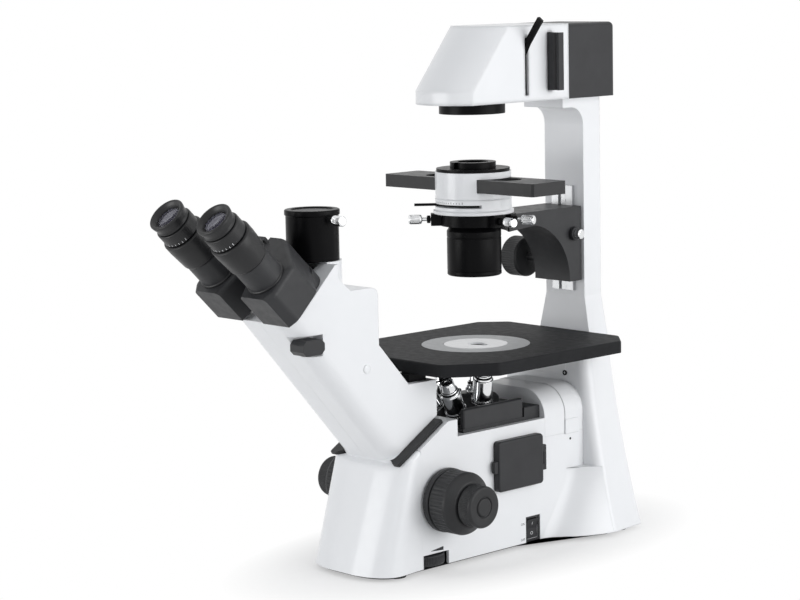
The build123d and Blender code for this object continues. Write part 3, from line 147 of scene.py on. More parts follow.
class Surface(Nodes):
    """Node tree of one material: a Principled shader on the piece's own coordinates."""

    def __init__(self, name: str) -> None:
        """Start the material with its shader joined to its output."""
        self.material = bpy.data.materials.new(name)
        self.material.use_nodes = True
        super().__init__(self.material.node_tree)
        self.output = self.add("OutputMaterial")
        self.shader = self.add("BsdfPrincipled")
        self.place = self.add("TexCoord").outputs["Object"]
        self.join(self.shader.outputs["BSDF"], self.output.inputs["Surface"])

    def set(self, **inputs: object) -> None:
        """Set the shader's inputs: a link for an output, a constant for anything else."""
        for key, value in inputs.items():
            socket = self.shader.inputs[key.replace("_", " ")]
            if isinstance(value, Socket):
                self.join(value, socket)
            else:
                socket.default_value = value

    def noise(self, scale: float, detail: float, stretch: Vec | None = None) -> Socket:
        """Noise on the piece's own coordinates.

        Args:
            scale: Cycles per metre.
            detail: Octaves of finer noise.
            stretch: Scale along each axis, where the grain runs one way.

        Returns:
            The noise's factor output.
        """
        node = self.add("TexNoise", Scale=scale, Detail=detail)
        place = self.place
        if stretch:
            mapping = self.add("Mapping", Scale=stretch)
            self.join(place, mapping.inputs["Vector"])
            place = mapping.outputs["Vector"]
        self.join(place, node.inputs["Vector"])
        return node.outputs["Fac"]

    def spread(self, factor: Socket, span: Pair, onto: Pair) -> Socket:
        """Map a span of a factor onto another one."""
        node = self.add("MapRange", From_Min=span[0], From_Max=span[1], To_Min=onto[0], To_Max=onto[1])
        self.join(factor, node.inputs["Value"])
        return node.outputs["Result"]

    def tint(self, factor: Socket, dark: Vec, light: Vec) -> Socket:
        """Blend two colours by a factor's middle part."""
        ramp = self.add("ValToRGB")
        first, last = ramp.color_ramp.elements
        first.position, last.position = 0.32, 0.68
        first.color, last.color = (*dark, 1.0), (*light, 1.0)
        self.join(factor, ramp.inputs["Fac"])
        return ramp.outputs["Color"]

    def bump(self, height: Socket, depth: float, strength: float, edge: float) -> None:
        """Add relief of a depth in metres, with sharp edges eased over a radius in metres.

        Args:
            height: Height from 0 to 1.
            depth: Depth of the relief.
            strength: Share of the relief that shows.
            edge: Radius over which sharp edges look broken.
        """
        node = self.add("Bump", Strength=strength, Distance=depth)
        self.join(height, node.inputs["Height"])
        if edge:
            rounded = self.add("Bevel", Radius=edge)
            rounded.samples = 4
            self.join(rounded.outputs["Normal"], node.inputs["Normal"])
        self.set(Normal=node.outputs["Normal"])


MIDDLE = (0.3, 0.7)
LATHE_MARKS = (0.15, 0.15, 6.0)


@dataclass(frozen=True)
class Finish:
    """A surface finish: colour, gloss and fine relief.

    Attributes:
        slot: The record's material slot.
        colour: Base colour.
        gloss: Least and greatest roughness over the surface.
        metallic: 1 for bare metal.
        grain: Kind of fine relief.
        shade: How much darker the darker patches are.
        coat: Weight of a clear coat.
        edge: Radius over which edges look broken, in millimetres.
        sheen: Strength of the mirror-like part, 0.5 for a common lacquer.
        variant: Word for a finish that shares its slot with another one.
    """

    slot: str
    colour: Vec
    gloss: Pair
    metallic: float = 0.0
    grain: Grain = Grain.SMOOTH
    shade: float = 0.06
    coat: float = 0.0
    edge: float = 0.35
    sheen: float = 0.5
    variant: str = ""

    @property
    def name(self) -> str:
        """Name of the material: the slot's, with the variant's word behind it."""
        return f"{self.slot}_{self.variant}" if self.variant else self.slot

    def material(self) -> bpy.types.Material:
        """Build the material's nodes.

        Returns:
            The finished material.
        """
        nodes = Surface(self.name)
        nodes.set(Metallic=self.metallic, Coat_Weight=self.coat, Coat_Roughness=0.12, Specular_IOR_Level=self.sheen)
        dark = tuple(c * (1.0 - self.shade) for c in self.colour)
        nodes.set(Base_Color=nodes.tint(nodes.noise(38.0, 3.0), dark, self.colour))
        nodes.set(Roughness=nodes.spread(nodes.noise(140.0, 4.0), MIDDLE, self.gloss))
        scale, detail, depth, strength = self.grain.value
        if self.grain is Grain.CRACKLE:
            cells = nodes.add("TexVoronoi", Scale=scale)
            nodes.join(nodes.place, cells.inputs["Vector"])
            height = cells.outputs["Distance"]
        else:
            height = nodes.noise(scale, detail, LATHE_MARKS if self.grain is Grain.TURNED else None)
        nodes.bump(height, depth, strength, self.edge * MM)
        return nodes.material


@dataclass(frozen=True)
class ClearGlass(Finish):
    """Coated lens glass: clear, with a faint violet bloom at grazing angles."""

    bloom: Vec = (0.35, 0.3, 0.62)

    def material(self) -> bpy.types.Material:
        """Build a see-through shader with a tinted reflection.

        Returns:
            The finished material.
        """
        nodes = Surface(self.name)
        nodes.set(Transmission_Weight=1.0, IOR=1.5, Specular_Tint=(*self.bloom, 1.0))
        haze = nodes.noise(90.0, 2.0)
        nodes.set(Base_Color=nodes.tint(haze, tuple(0.97 * c for c in self.colour), self.colour))
        nodes.set(Roughness=nodes.spread(haze, MIDDLE, self.gloss))
        return nodes.material


WHITE_ENAMEL = Finish(
    "white_paint", (0.80, 0.81, 0.825), (0.3, 0.4), grain=Grain.PEEL, shade=0.015, coat=0.25, edge=1.2
)
WHITE_CASTING = replace(WHITE_ENAMEL, edge=0.3, variant="casting")
WHITE_SOFT = replace(WHITE_ENAMEL, edge=6.0, variant="soft")
BLACK_MOULDING = Finish(
    "black_plastic", (0.027, 0.0275, 0.03), (0.36, 0.46), grain=Grain.SPARK, shade=0.2, sheen=0.28
)
EYEPIECE_BLACK = replace(BLACK_MOULDING, colour=(0.013, 0.0133, 0.0145), sheen=0.34, variant="eyepiece")
GREY_MOULDING = Finish(
    "dark_grey_plastic", (0.027, 0.0277, 0.03), (0.4, 0.52), grain=Grain.SPARK, shade=0.15, sheen=0.32
)
BLACK_ANODISED = Finish(
    "black_metal", (0.003, 0.003, 0.0035), (0.28, 0.38), grain=Grain.TURNED, shade=0.2, sheen=0.07
)
STAGE_COAT = Finish(
    "stage_black", (0.012, 0.0125, 0.014), (0.55, 0.65), grain=Grain.CRACKLE, shade=0.2, sheen=0.14
)
CHROME = Finish("chrome", (0.78, 0.79, 0.8), (0.07, 0.16), metallic=1.0, grain=Grain.TURNED, edge=0.15)
GROUND_STEEL = Finish("steel", (0.6, 0.61, 0.62), (0.25, 0.38), metallic=1.0, grain=Grain.TURNED)
INSERT_GREY = Finish("insert_grey", (0.3, 0.31, 0.32), (0.35, 0.45), metallic=0.4, grain=Grain.TURNED)
INSERT_WHITE = Finish("insert_white", (0.8, 0.81, 0.82), (0.15, 0.25), shade=0.02)
FOOT_RUBBER = Finish("rubber", (0.02, 0.02, 0.02), (0.7, 0.85), grain=Grain.SPARK, shade=0.25)
GRIP_RUBBER = Finish("knob_rubber", (0.019, 0.0195, 0.021), (0.42, 0.55), grain=Grain.SPARK, shade=0.2, sheen=0.3)
LENS_GLASS = ClearGlass("glass", (0.93, 0.95, 0.97), (0.01, 0.03))
MIRROR_COAT = Finish("mirror", (0.9, 0.9, 0.92), (0.02, 0.05), metallic=1.0, edge=0.0)
LAMP_CERAMIC = Finish("ceramic", (0.72, 0.7, 0.65), (0.5, 0.65), grain=Grain.SPARK)

FINISHES = (
    WHITE_ENAMEL, WHITE_CASTING, WHITE_SOFT, BLACK_MOULDING, EYEPIECE_BLACK, GREY_MOULDING, BLACK_ANODISED,
    STAGE_COAT, CHROME, GROUND_STEEL, INSERT_GREY, INSERT_WHITE, FOOT_RUBBER, GRIP_RUBBER, LENS_GLASS, MIRROR_COAT,
    LAMP_CERAMIC,
)

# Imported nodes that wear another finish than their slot's
OTHER_FINISH = {
    "lamp_house": WHITE_SOFT,
    "phase_slider": EYEPIECE_BLACK,
    "nosepiece_carriage": GREY_MOULDING,
    "condenser_carrier": GREY_MOULDING,
}


def eased(corners: Line | np.ndarray, radius: float, steps: int = 4) -> np.ndarray:
    """Polyline with its inner corners rounded.

    A corner P between unit directions a (in) and b (out) becomes the curve
    (1-t)^2 (P - d a) + 2 t (1-t) P + t^2 (P + d b), d being the radius or a
    little under half of the shorter side.

    Args:
        corners: Points of the polyline.
        radius: Distance from a corner at which its rounding starts.
        steps: Points in each rounding.

    Returns:
        The points of the rounded line.
    """
    points = np.asarray(corners, dtype=float)
    legs = np.diff(points, axis=0)
    lengths = np.linalg.norm(legs, axis=1)
    ways = legs / lengths[:, None]
    reach = np.minimum(radius, 0.45 * np.minimum(lengths[:-1], lengths[1:]))[:, None, None]
    t = np.linspace(0.0, 1.0, steps)[None, :, None]
    middle = points[1:-1, None, :]
    start = middle - reach * ways[:-1, None, :]
    end = middle + reach * ways[1:, None, :]
    bends = (1 - t) ** 2 * start + 2 * t * (1 - t) * middle + t**2 * end
    return np.vstack([points[:1], bends.reshape(-1, points.shape[1]), points[-1:]])


def bezier(ends: np.ndarray, steps: int) -> np.ndarray:
    """Points on (1-t)^3 P0 + 3t(1-t)^2 P1 + 3t^2 (1-t) P2 + t^3 P3 for t from 0 to 1.

    Args:
        ends: The four points P0 to P3, on the second axis from the end.
        steps: Points along the curve.

    Returns:
        Array with the curve's points in place of the four.
    """
    t = np.linspace(0.0, 1.0, steps)
    return np.stack([(1 - t) ** 3, 3 * t * (1 - t) ** 2, 3 * t**2 * (1 - t), t**3], axis=1) @ ends


@dataclass(frozen=True)
class Flutes:
    """Grip flutes round a turned piece.

    Attributes:
        count: Flutes in a full turn.
        depth: Depth of a flute in millimetres.
        low: Height along the axis where they start.
        high: Height where they end.
        narrow: 1 for an even wave, more for wide ribs with narrow grooves.
        run_out: Length over which they fade in and out.
    """

    count: int
    depth: float
    low: float
    high: float
    narrow: float = 1.0
    run_out: float = 0.5

    def heights(self) -> np.ndarray:
        """Heights at which the flutes start, reach full depth and end again."""
        return np.array([self.low, self.low + self.run_out, self.high - self.run_out, self.high])

    def cut(self, height: np.ndarray, angle: np.ndarray) -> np.ndarray:
        """Depth at each height and angle: depth times fade times (0.5 + 0.5 cos(n t)) ** narrow."""
        fade = np.clip(np.minimum(height - self.low, self.high - height) / self.run_out, 0.0, 1.0)
        wave = (0.5 + 0.5 * np.cos(self.count * angle)) ** self.narrow
        return self.depth * fade[:, None] * wave[None, :]


def lathe(profile: np.ndarray, flutes: Flutes | None = None, columns: int = 96) -> np.ndarray:
    """Turned surface as a grid of points.

    The point at profile place (h, r) and angle t is (r cos t, r sin t, h),
    with r less the flutes' cut there.

    Args:
        profile: Heights and radii along the outline.
        flutes: Grip flutes, if any.
        columns: Points round a turn when there are no flutes.

    Returns:
        Array of rows, columns and three coordinates.
    """
    height, radius = profile[:, 0], profile[:, 1]
    if flutes:
        columns = 8 * flutes.count
        outer = radius.max()
        span = (height[:-1] < flutes.low) & (height[1:] > flutes.high) & (radius[:-1] > 0.9 * outer)
        place = int(np.argmax(span)) + 1
        extra = flutes.heights()
        added = np.interp(extra, height[place - 1 : place + 1], radius[place - 1 : place + 1])
        height, radius = np.insert(height, place, extra), np.insert(radius, place, added)
    angle = np.linspace(0.0, 2.0 * np.pi, columns, endpoint=False)
    reach = np.repeat(radius[:, None], columns, axis=1)
    if flutes:
        on_rim = radius > 0.9 * radius.max()
        reach = reach - flutes.cut(height, angle) * on_rim[:, None]
    rise = np.repeat(height[:, None], columns, axis=1)
    return np.stack([reach * np.cos(angle), reach * np.sin(angle), rise], axis=-1)


@dataclass(frozen=True)
class Dome:
    """Lens with a flat back at height foot and the front h = rim + rise (1 - (r / radius)^2)."""

    foot: float
    rim: float
    rise: float
    radius: float
    rows: int
    columns: int = 96

    def grids(self) -> list[np.ndarray]:
        """Point grid of the lens."""
        share = np.linspace(1.0, 0.0, self.rows)
        front = np.stack([self.rim + self.rise * (1 - share**2), self.radius * share], axis=1)
        back = [(self.foot, 0.0), (self.foot, self.radius)]
        return [lathe(np.vstack([back, front]), columns=self.columns)]


@dataclass(frozen=True)
class Turning:
    """A turned piece.

    Attributes:
        corners: Heights and radii along its outline.
        ease: Distance from each corner at which its rounding starts.
        flutes: Grip flutes, if any.
        columns: Points round a turn when there are no flutes.
        steps: Points in each rounding.
    """

    corners: Line
    ease: float
    flutes: Flutes | None = None
    columns: int = 96
    steps: int = 4

    def grids(self) -> list[np.ndarray]:
        """Point grid of the turned surface."""
        return [lathe(eased(self.corners, self.ease, self.steps), self.flutes, self.columns)]


def closed(body: np.ndarray) -> np.ndarray:
    """Rows of points with one more at each end, shrunk to the end row's middle."""
    middle = np.repeat(body.mean(axis=1, keepdims=True), body.shape[1], axis=1)
    return np.concatenate([middle[:1], body, middle[-1:]])


def slab(outline: np.ndarray, layers: Line) -> np.ndarray:
    """Plate with shaped edges as a grid of points.

    Row v is the outline moved inwards by the layer's inset along its normal,
    at the layer's height. The first and last rows shrink to the middle.

    Args:
        outline: Points round the plate, anticlockwise.
        layers: Inset and height of each row, bottom first.

    Returns:
        Array of rows, columns and three coordinates.
    """
    tangent = np.roll(outline, -1, axis=0) - np.roll(outline, 1, axis=0)
    normal = np.stack([tangent[:, 1], -tangent[:, 0]], axis=1)
    normal /= np.linalg.norm(normal, axis=1)[:, None]
    inset, height = np.array(layers).T
    flat = outline[None] - inset[:, None, None] * normal[None]
    rise = np.repeat(height[:, None, None], len(outline), axis=1)
    return closed(np.concatenate([flat, rise], axis=2))


def rectangle(width: float, depth: float) -> Line:
    """Corners of a rectangle, anticlockwise from the middle of its right side and back to it."""
    a, b = width / 2, depth / 2
    return ((a, 0), (a, b), (-a, b), (-a, -b), (a, -b), (a, 0))


@dataclass(frozen=True)
class Plate:
    """A plate with rounded corners and shaped edges.

    Attributes:
        corners: Points round it, anticlockwise, from the middle of a side and back to it.
        ease: Distance from each corner at which its rounding starts.
        layers: Inset and height of each row, bottom first.
        steps: Points in each rounding.
    """

    corners: Line
    ease: float
    layers: Line
    steps: int = 8

    def grids(self) -> list[np.ndarray]:
        """Point grid of the plate."""
        return [slab(eased(self.corners, self.ease, self.steps)[:-1], self.layers)]


@dataclass(frozen=True)
class Frame:
    """Flat frame round an opening.

    Attributes:
        outer: Width and depth outside.
        inner: Width and depth of the opening.
        span: Heights of its back and its face.
        ease: Distance from each corner at which its rounding starts.
    """

    outer: Pair
    inner: Pair
    span: Pair
    ease: float

    def grids(self) -> list[np.ndarray]:
        """Both outlines at the two heights, closed back onto the first."""
        outer, inner = (eased(rectangle(*size), self.ease, 8)[:-1] for size in (self.outer, self.inner))
        low, high = self.span
        rims = ((outer, low), (outer, high), (inner, high), (inner, low), (outer, low))
        return [np.stack([np.column_stack([rim, np.full(len(rim), height)]) for rim, height in rims])]


@dataclass(frozen=True)
class Scale:
    """Row of short lines round a cylinder.

    Attributes:
        radius: Radius of the cylinder.
        low: Height at which every line starts.
        span: First and last angle in degrees.
        count: Number of lines.
        every: A longer line stands at each of these steps.
        lengths: Length of a longer and of a common line.
        width: Width of a line along the arc.
    """

    radius: float
    low: float
    span: Pair
    count: int
    every: int
    lengths: Pair
    width: float

    def grids(self) -> list[np.ndarray]:
        """Each line's four corners, carried from just under the surface to just above it."""
        half = self.width / 2 / self.radius * np.array([-1.0, 1.0, 1.0, -1.0])
        reach = np.array([self.radius - 0.15, self.radius + 0.04])[:, None]
        lines = []
        for place, middle in enumerate(np.radians(np.linspace(*self.span, self.count))):
            top = self.low + self.lengths[1 if place % self.every else 0]
            rise = np.repeat(np.array([[self.low, self.low, top, top]]), 2, axis=0)
            angle = middle + half
            lines.append(closed(np.stack([reach * np.cos(angle), reach * np.sin(angle), rise], axis=-1)))
        return lines


def turned_about(direction: Vec, axis: Vec, degrees: float) -> np.ndarray:
    """Direction turned about an axis: v cos t + (k x v) sin t + k (k.v)(1 - cos t)."""
    t, k, v = math.radians(degrees), np.asarray(axis, float), np.asarray(direction, float)
    return v * math.cos(t) + np.cross(k, v) * math.sin(t) + k * np.dot(k, v) * (1 - math.cos(t))


class Side(Enum):
    """Side of the instrument as the user sees it."""

    LEFT = -1.0
    RIGHT = 1.0

    @property
    def word(self) -> str:
        """The side's name in lower case."""
        return self.name.lower()


@dataclass(frozen=True)
class Seat:
    """Own axes of a piece.

    Attributes:
        point: Origin in millimetres, Y from the optical axis.
        axis: Direction of the piece's own Z.
        start: Direction near the piece's own X.
    """

    point: Vec = (0.0, 0.0, 0.0)
    axis: Vec = (0.0, 0.0, 1.0)
    start: Vec = (1.0, 0.0, 0.0)

    def shifted(self, step: Vec) -> Seat:
        """The same axes at a point moved by a step in the frame's directions."""
        return replace(self, point=tuple(np.add(self.point, step)))

    def carry(self, grid: np.ndarray) -> np.ndarray:
        """Points of the piece in the shared frame, in metres."""
        z = np.asarray(self.axis, float)
        z = z / np.linalg.norm(z)
        x = np.asarray(self.start, float) - np.dot(self.start, z) * z
        x = x / np.linalg.norm(x)
        turn = np.stack([x, np.cross(z, x), z])
        return (grid @ turn + np.asarray(self.point) + (0.0, OPTICAL_Y, 0.0)) * MM


def across(side: Side, point: Vec) -> Seat:
    """Axes at a point with Z out of a side, for a piece on a crosswise shaft."""
    return Seat(point, (side.value, 0.0, 0.0), (0.0, 0.0, 1.0))


def on_flanks(point: Vec) -> list[Seat]:
    """Axes on both flanks, facing outwards, with their own X along Y; the point is that of the right flank."""
    x, y, z = point
    return [Seat((side.value * x, y, z), (side.value, 0.0, 0.0), (0.0, 1.0, 0.0)) for side in Side]


def shown(name: str, data: bpy.types.ID) -> bpy.types.Object:
    """New object over some data, linked to the scene."""
    made = bpy.data.objects.new(name, data)
    bpy.context.scene.collection.objects.link(made)
    return made


def finished(name: str, work: bmesh.types.BMesh, mesh: bpy.types.Mesh, crisp: float) -> bpy.types.Object:
    """Object over a worked mesh, its faces outwards and smooth.

    Args:
        name: The piece's name.
        work: The worked mesh, freed here.
        mesh: The mesh that takes it.
        crisp: Angle in degrees above which an edge stays sharp.

    Returns:
        The new object, linked to the scene.
    """
    bmesh.ops.recalc_face_normals(work, faces=work.faces)
    work.to_mesh(mesh)
    work.free()
    mesh.shade_smooth()
    mesh.set_sharp_from_angle(angle=math.radians(crisp))
    return shown(name, mesh)


def skin(name: str, grids: list[np.ndarray]) -> bpy.types.Object:
    """Mesh object over grids whose columns close round.

    Args:
        name: The piece's name.
        grids: Point grids in metres.

    Returns:
        The new object, linked to the scene.
    """
    points, quads, first = [], [], 0
    for grid in grids:
        rows, columns = grid.shape[:2]
        i = first + np.arange(rows - 1)[:, None] * columns
        j = np.arange(columns)[None, :]
        k = (j + 1) % columns
        quads.append(np.stack([i + j, i + k, i + columns + k, i + columns + j], axis=-1).reshape(-1, 4))
        points.append(grid.reshape(-1, 3))
        first += rows * columns
    mesh = bpy.data.meshes.new(name)
    mesh.from_pydata(np.vstack(points), [], np.vstack(quads).tolist())
    work = bmesh.new()
    work.from_mesh(mesh)
    bmesh.ops.remove_doubles(work, verts=work.verts, dist=MERGE)
    bmesh.ops.dissolve_degenerate(work, edges=work.edges, dist=SLIVER)
    return finished(name, work, mesh, MADE_EDGE)


class Workshop:
    """Keeps the materials and the frame, and puts pieces on bodies."""

    def __init__(self, frame: dict) -> None:
        """Make every finish's material once."""
        self.frame = frame
        self.materials = {finish.name: finish.material() for finish in FINISHES}

    def dress_nodes(self) -> None:
        """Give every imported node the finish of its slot, or the other one that it wears."""
        for row in self.frame["record"]["subparts"]:
            mesh = self.frame["nodes"][row["node"]].data
            mesh.materials.clear()
            other = OTHER_FINISH.get(row["node"])
            name = other.name if other else row["material_slot"]
            mesh.materials.append(self.materials[name])
            log.info("dressed %s with %s", row["node"], name)

    def place(self, piece: bpy.types.Object, finish: Finish, body: str, *stands_for: str) -> None:
        """Give a piece its finish and put it on a body.

        Args:
            piece: The finished object.
            finish: The finish that it wears.
            body: The body that it moves with.
            stands_for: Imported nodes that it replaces.
        """
        piece.data.materials.clear()
        piece.data.materials.append(self.materials[finish.name])
        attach(piece, body)
        if stands_for:
            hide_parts(*stands_for)
        log.info("%s on %s, %d faces", piece.name, body, len(piece.data.polygons))

    def add(self, name: str, grids: list[np.ndarray], finish: Finish, body: str, *stands_for: str) -> None:
        """Make a piece from its point grids and place it; the arguments are those of skin and place."""
        self.place(skin(name, grids), finish, body, *stands_for)

    def mount(self, seats: Seat | list[Seat], *rows: tuple) -> None:
        """Make pieces from shapes, each piece at all the seats.

        Args:
            seats: The axes, one or several.
            rows: Name, shape, finish and body of each piece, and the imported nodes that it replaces.
        """
        seats = [seats] if isinstance(seats, Seat) else seats
        for name, shape, *rest in rows:
            self.add(name, [seat.carry(grid) for seat in seats for grid in shape.grids()], *rest)

    def letter(self, name: str, text: str, size: float, seat: Seat, body: str, finish: Finish) -> None:
        """Put a short plain word on a face.

        Args:
            name: The piece's name.
            text: The word.
            size: Height of its line in millimetres.
            seat: Its middle, the way it faces and the way it reads.
            body: The body that it moves with.
            finish: The finish that it wears.
        """
        curve = bpy.data.curves.new(name, "FONT")
        curve.body, curve.size, curve.extrude = text, size, 0.05
        curve.align_x, curve.align_y = "CENTER", "CENTER"
        source = bpy.data.objects.new(name, curve)
        mesh = bpy.data.meshes.new_from_object(source)
        bpy.data.objects.remove(source)
        bpy.data.curves.remove(curve)
        flat = np.empty(3 * len(mesh.vertices))
        mesh.vertices.foreach_get("co", flat)
        mesh.vertices.foreach_set("co", seat.carry(flat.reshape(-1, 3)).ravel())
        mesh.name = name
        self.place(shown(name, mesh), finish, body)


@dataclass(frozen=True)
class Bow:
    """Rounded front corner seen from above: its middle, half axes and power, under 1 for a squarer corner."""

    x: float
    y: float
    wide: float
    deep: float
    power: float


@dataclass
class BaseShell:
    """Base casting with its leaning front, the head's seat on it and the soft skirts of the column.

    Attributes:
        cut_y: Where the made front meets the casting's rear.
        wall_x: Half width of the casting there.
        floor_bow: The front's corners at the floor.
        top_bow: The same at the slanted seat.
        seat_foot: Y and Z of the seat's lower edge.
        slope: Rise of the seat per unit of Y.
        skirt_low: Four points of the skirt's curve at the floor.
        skirt_top: The same at the skirt's top.
        inner_x: Where the skirt ends inside the casting.
        plate_rear: Bottom plate's outline behind the made front.
        plate_layers: Insets and heights of the bottom plate.
        pad: The seat's dark plate, notched where the head's foot comes down.
        foot: The head's foot in that notch.
        rim_start: Share of the front's height at which its rim's rounding starts.
        rim_inset: Size of the front's flat top as a share of its outline.
        skirt_power: How fast the skirt leaves its curve at the floor.
    """

    cut_y: float = -128.2
    wall_x: float = 52.5
    floor_z: float = 4.5
    floor_bow: Bow = Bow(10.0, -158.0, 45.0, 28.0, 0.92)
    top_bow: Bow = Bow(12.0, -131.0, 40.5, 24.0, 0.9)
    seat_foot: Pair = (-153.0, 105.0)
    slope: float = 37.0 / 62.0
    skirt_z: float = 70.0
    skirt_low: Line = ((52.4, 34.6), (56.0, 58.0), (78.0, 58.0), (88.1, 104.0))
    skirt_top: Line = ((52.4, 72.0), (53.0, 85.0), (62.0, 87.0), (73.4, 104.0))
    inner_x: float = 50.0
    plate_rear: Line = ((52.5, 42), (85, 98), (79, 152), (-79, 152), (-85, 98), (-52.5, 42))
    plate_layers: Line = ((4.0, 2.5), (4.0, 4.6))
    pad: Plate = Plate(
        ((48, 36), (48, 70), (-48, 70), (-48, 2), (-40, 2), (-30, 9), (30, 9), (40, 2), (48, 2), (48, 36)),
        2.0, ((0.4, 0), (0, 0.4), (0, 3.1), (0.4, 3.5)), 4,
    )
    foot: Plate = Plate(
        ((37, 24), (37, 44), (-37, 44), (-37, 4.6), (37, 4.6), (37, 24)), 16.0, ((0, -0.2), (0, 3.6)), 10
    )
    rim_start: float = 0.95
    rim_inset: float = 0.9
    skirt_power: float = 1.3

    def outline(self, bow: Bow) -> np.ndarray:
        """Points from the right wall round the front to the left wall.

        The wall leaves the cut along Y, eases sideways by 3s^2 - 2s^3 and
        runs into x = c + a cos^p t, y = d - b sin^p t.
        """
        s = np.linspace(0.0, 1.0, 8, endpoint=False)
        aside = (bow.x + bow.wide - self.wall_x) * (3 * s**2 - 2 * s**3)
        wall = np.stack([self.wall_x + aside, self.cut_y + (bow.y - self.cut_y) * s], axis=1)
        t = np.linspace(0.0, np.pi / 2, 28)
        x, y = bow.x + bow.wide * np.abs(np.cos(t)) ** bow.power, bow.y - bow.deep * np.sin(t) ** bow.power
        half = np.vstack([wall, np.stack([x, y], axis=1)])
        return np.vstack([half, half[::-1] * (-1.0, 1.0)])

    def front(self) -> np.ndarray:
        """Ruled front: rows run straight from the floor's outline to the seat's, with a rounded upper rim."""
        low, top = self.outline(self.floor_bow), self.outline(self.top_bow)
        rise = self.seat_foot[1] + self.slope * (top[:, 1:] - self.seat_foot[0])
        low = np.hstack([low, np.full((len(low), 1), self.floor_z)])
        top = np.hstack([top, rise])
        s = np.linspace(0.0, self.rim_start, 12)[:, None, None]
        wall = low[None] + s * (top - low)[None]
        inner = top.mean(axis=0) + self.rim_inset * (top - top.mean(axis=0))
        t = np.linspace(0.0, 1.0, 8)[1:, None, None]
        rim = (1 - t) ** 2 * wall[-1] + 2 * t * (1 - t) * top + t**2 * inner
        return closed(np.concatenate([wall, rim]))

    def rear(self, casting: bpy.types.Object) -> bpy.types.Object:
        """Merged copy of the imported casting, cut off where the made front starts."""
        mesh = casting.data.copy()
        mesh.name = "base_rear"
        if "custom_normal" in mesh.attributes:
            mesh.attributes.remove(mesh.attributes["custom_normal"])
        work = bmesh.new()
        work.from_mesh(mesh)
        bmesh.ops.remove_doubles(work, verts=work.verts, dist=MERGE)
        whole = [*work.verts, *work.edges, *work.faces]
        place = (0.0, (self.cut_y + OPTICAL_Y) * MM, 0.0)
        made = bmesh.ops.bisect_plane(work, geom=whole, plane_co=place, plane_no=(0, 1, 0), clear_inner=True)
        rim = [part for part in made["geom_cut"] if isinstance(part, bmesh.types.BMEdge)]
        bmesh.ops.triangle_fill(work, edges=rim, use_beauty=True)
        return finished("base_rear", work, mesh, CAST_EDGE)

    def skirt(self, side: Side) -> np.ndarray:
        """Flare from the casting's wall to the column's foot: a curve at each height, blended from floor to top."""
        share = np.linspace(0.0, 1.0, 16)
        weight = ((1.0 - share) ** self.skirt_power)[:, None, None]
        curve = bezier(weight * np.array(self.skirt_low) + (1.0 - weight) * np.array(self.skirt_top), 24)
        inside = curve[:, [-1, 0]] * (0.0, 1.0) + (self.inner_x, 0.0)
        ring = np.concatenate([curve, inside], axis=1) * (side.value, 1.0)
        height = self.floor_z + share * (self.skirt_z - self.floor_z)
        rise = np.repeat(height[:, None, None], ring.shape[1], axis=1)
        return closed(np.concatenate([ring, rise], axis=2))

    def build(self, shop: Workshop) -> None:
        """Make the casting's two parts, the bottom plate, the seat and the skirts."""
        flat = Seat()
        shop.add("base_front", [flat.carry(self.front())], WHITE_CASTING, "stand")
        shop.place(self.rear(shop.frame["nodes"]["base_casting"]), WHITE_CASTING, "stand", "base_casting")
        plate = slab(np.vstack([self.plate_rear, self.outline(self.floor_bow)[::-1]]), self.plate_layers)
        shop.add("bottom_plate", [flat.carry(plate)], BLACK_ANODISED, "stand", "base_plate")
        tip = math.atan(self.slope)
        shop.mount(
            Seat((0.0, *self.seat_foot), (0.0, -math.sin(tip), math.cos(tip))),
            ("seat_pad", self.pad, EYEPIECE_BLACK, "stand", "seat_plate"),
            ("head_foot", self.foot, WHITE_ENAMEL, "stand"),
        )
        shop.add("column_skirts", [flat.carry(self.skirt(side)) for side in Side], WHITE_ENAMEL, "stand")


@dataclass
class Trims:
    """Small closing pieces: plugs on the head, the arch band's ends, a black disc of painted shade for a pin hole,
    and the column's cover plate.
    """

    plug_at: Vec = (37.0, -180.0, 202.0)
    plug: Turning = Turning(((-0.5, 0), (-0.5, 4.5), (0.7, 4.3), (1.3, 3), (1.5, 0)), 0.3, columns=48)
    end_at: Vec = (53.2, 80.4, 112.5)
    end: Plate = Plate(rectangle(19.4, 15.0), 0.8, ((0, -0.4), (0, 0.5), (0.3, 0.8)))
    hole_at: Vec = (52.5, 79.0, 99.4)
    # Flat black disc flush with the wall: painted shade standing in for the dark inside of a pin hole
    hole: Turning = Turning(((-0.4, 0), (-0.4, 1.3), (0.06, 1.3), (0.06, 0)), 0.0, columns=32, steps=1)
    cover_at: Vec = (2.5, 98.0, 172.5)
    cover: Plate = Plate(rectangle(55.0, 29.0), 2.0, ((0, -0.4), (0, 0.5), (0.25, 0.7)))

    def build(self, shop: Workshop) -> None:
        """Make the pieces, on both sides but for the cover plate."""
        shop.mount(on_flanks(self.plug_at), ("head_plugs", self.plug, WHITE_ENAMEL, "stand"))
        shop.mount(on_flanks(self.end_at), ("arch_band_ends", self.end, WHITE_ENAMEL, "stand"))
        # Pin holes: black discs of painted shade, not dark parts
        shop.mount(on_flanks(self.hole_at), ("pin_holes", self.hole, BLACK_ANODISED, "stand"))
        shop.mount(Seat(self.cover_at, FORWARD), ("column_cover", self.cover, WHITE_ENAMEL, "stand"))


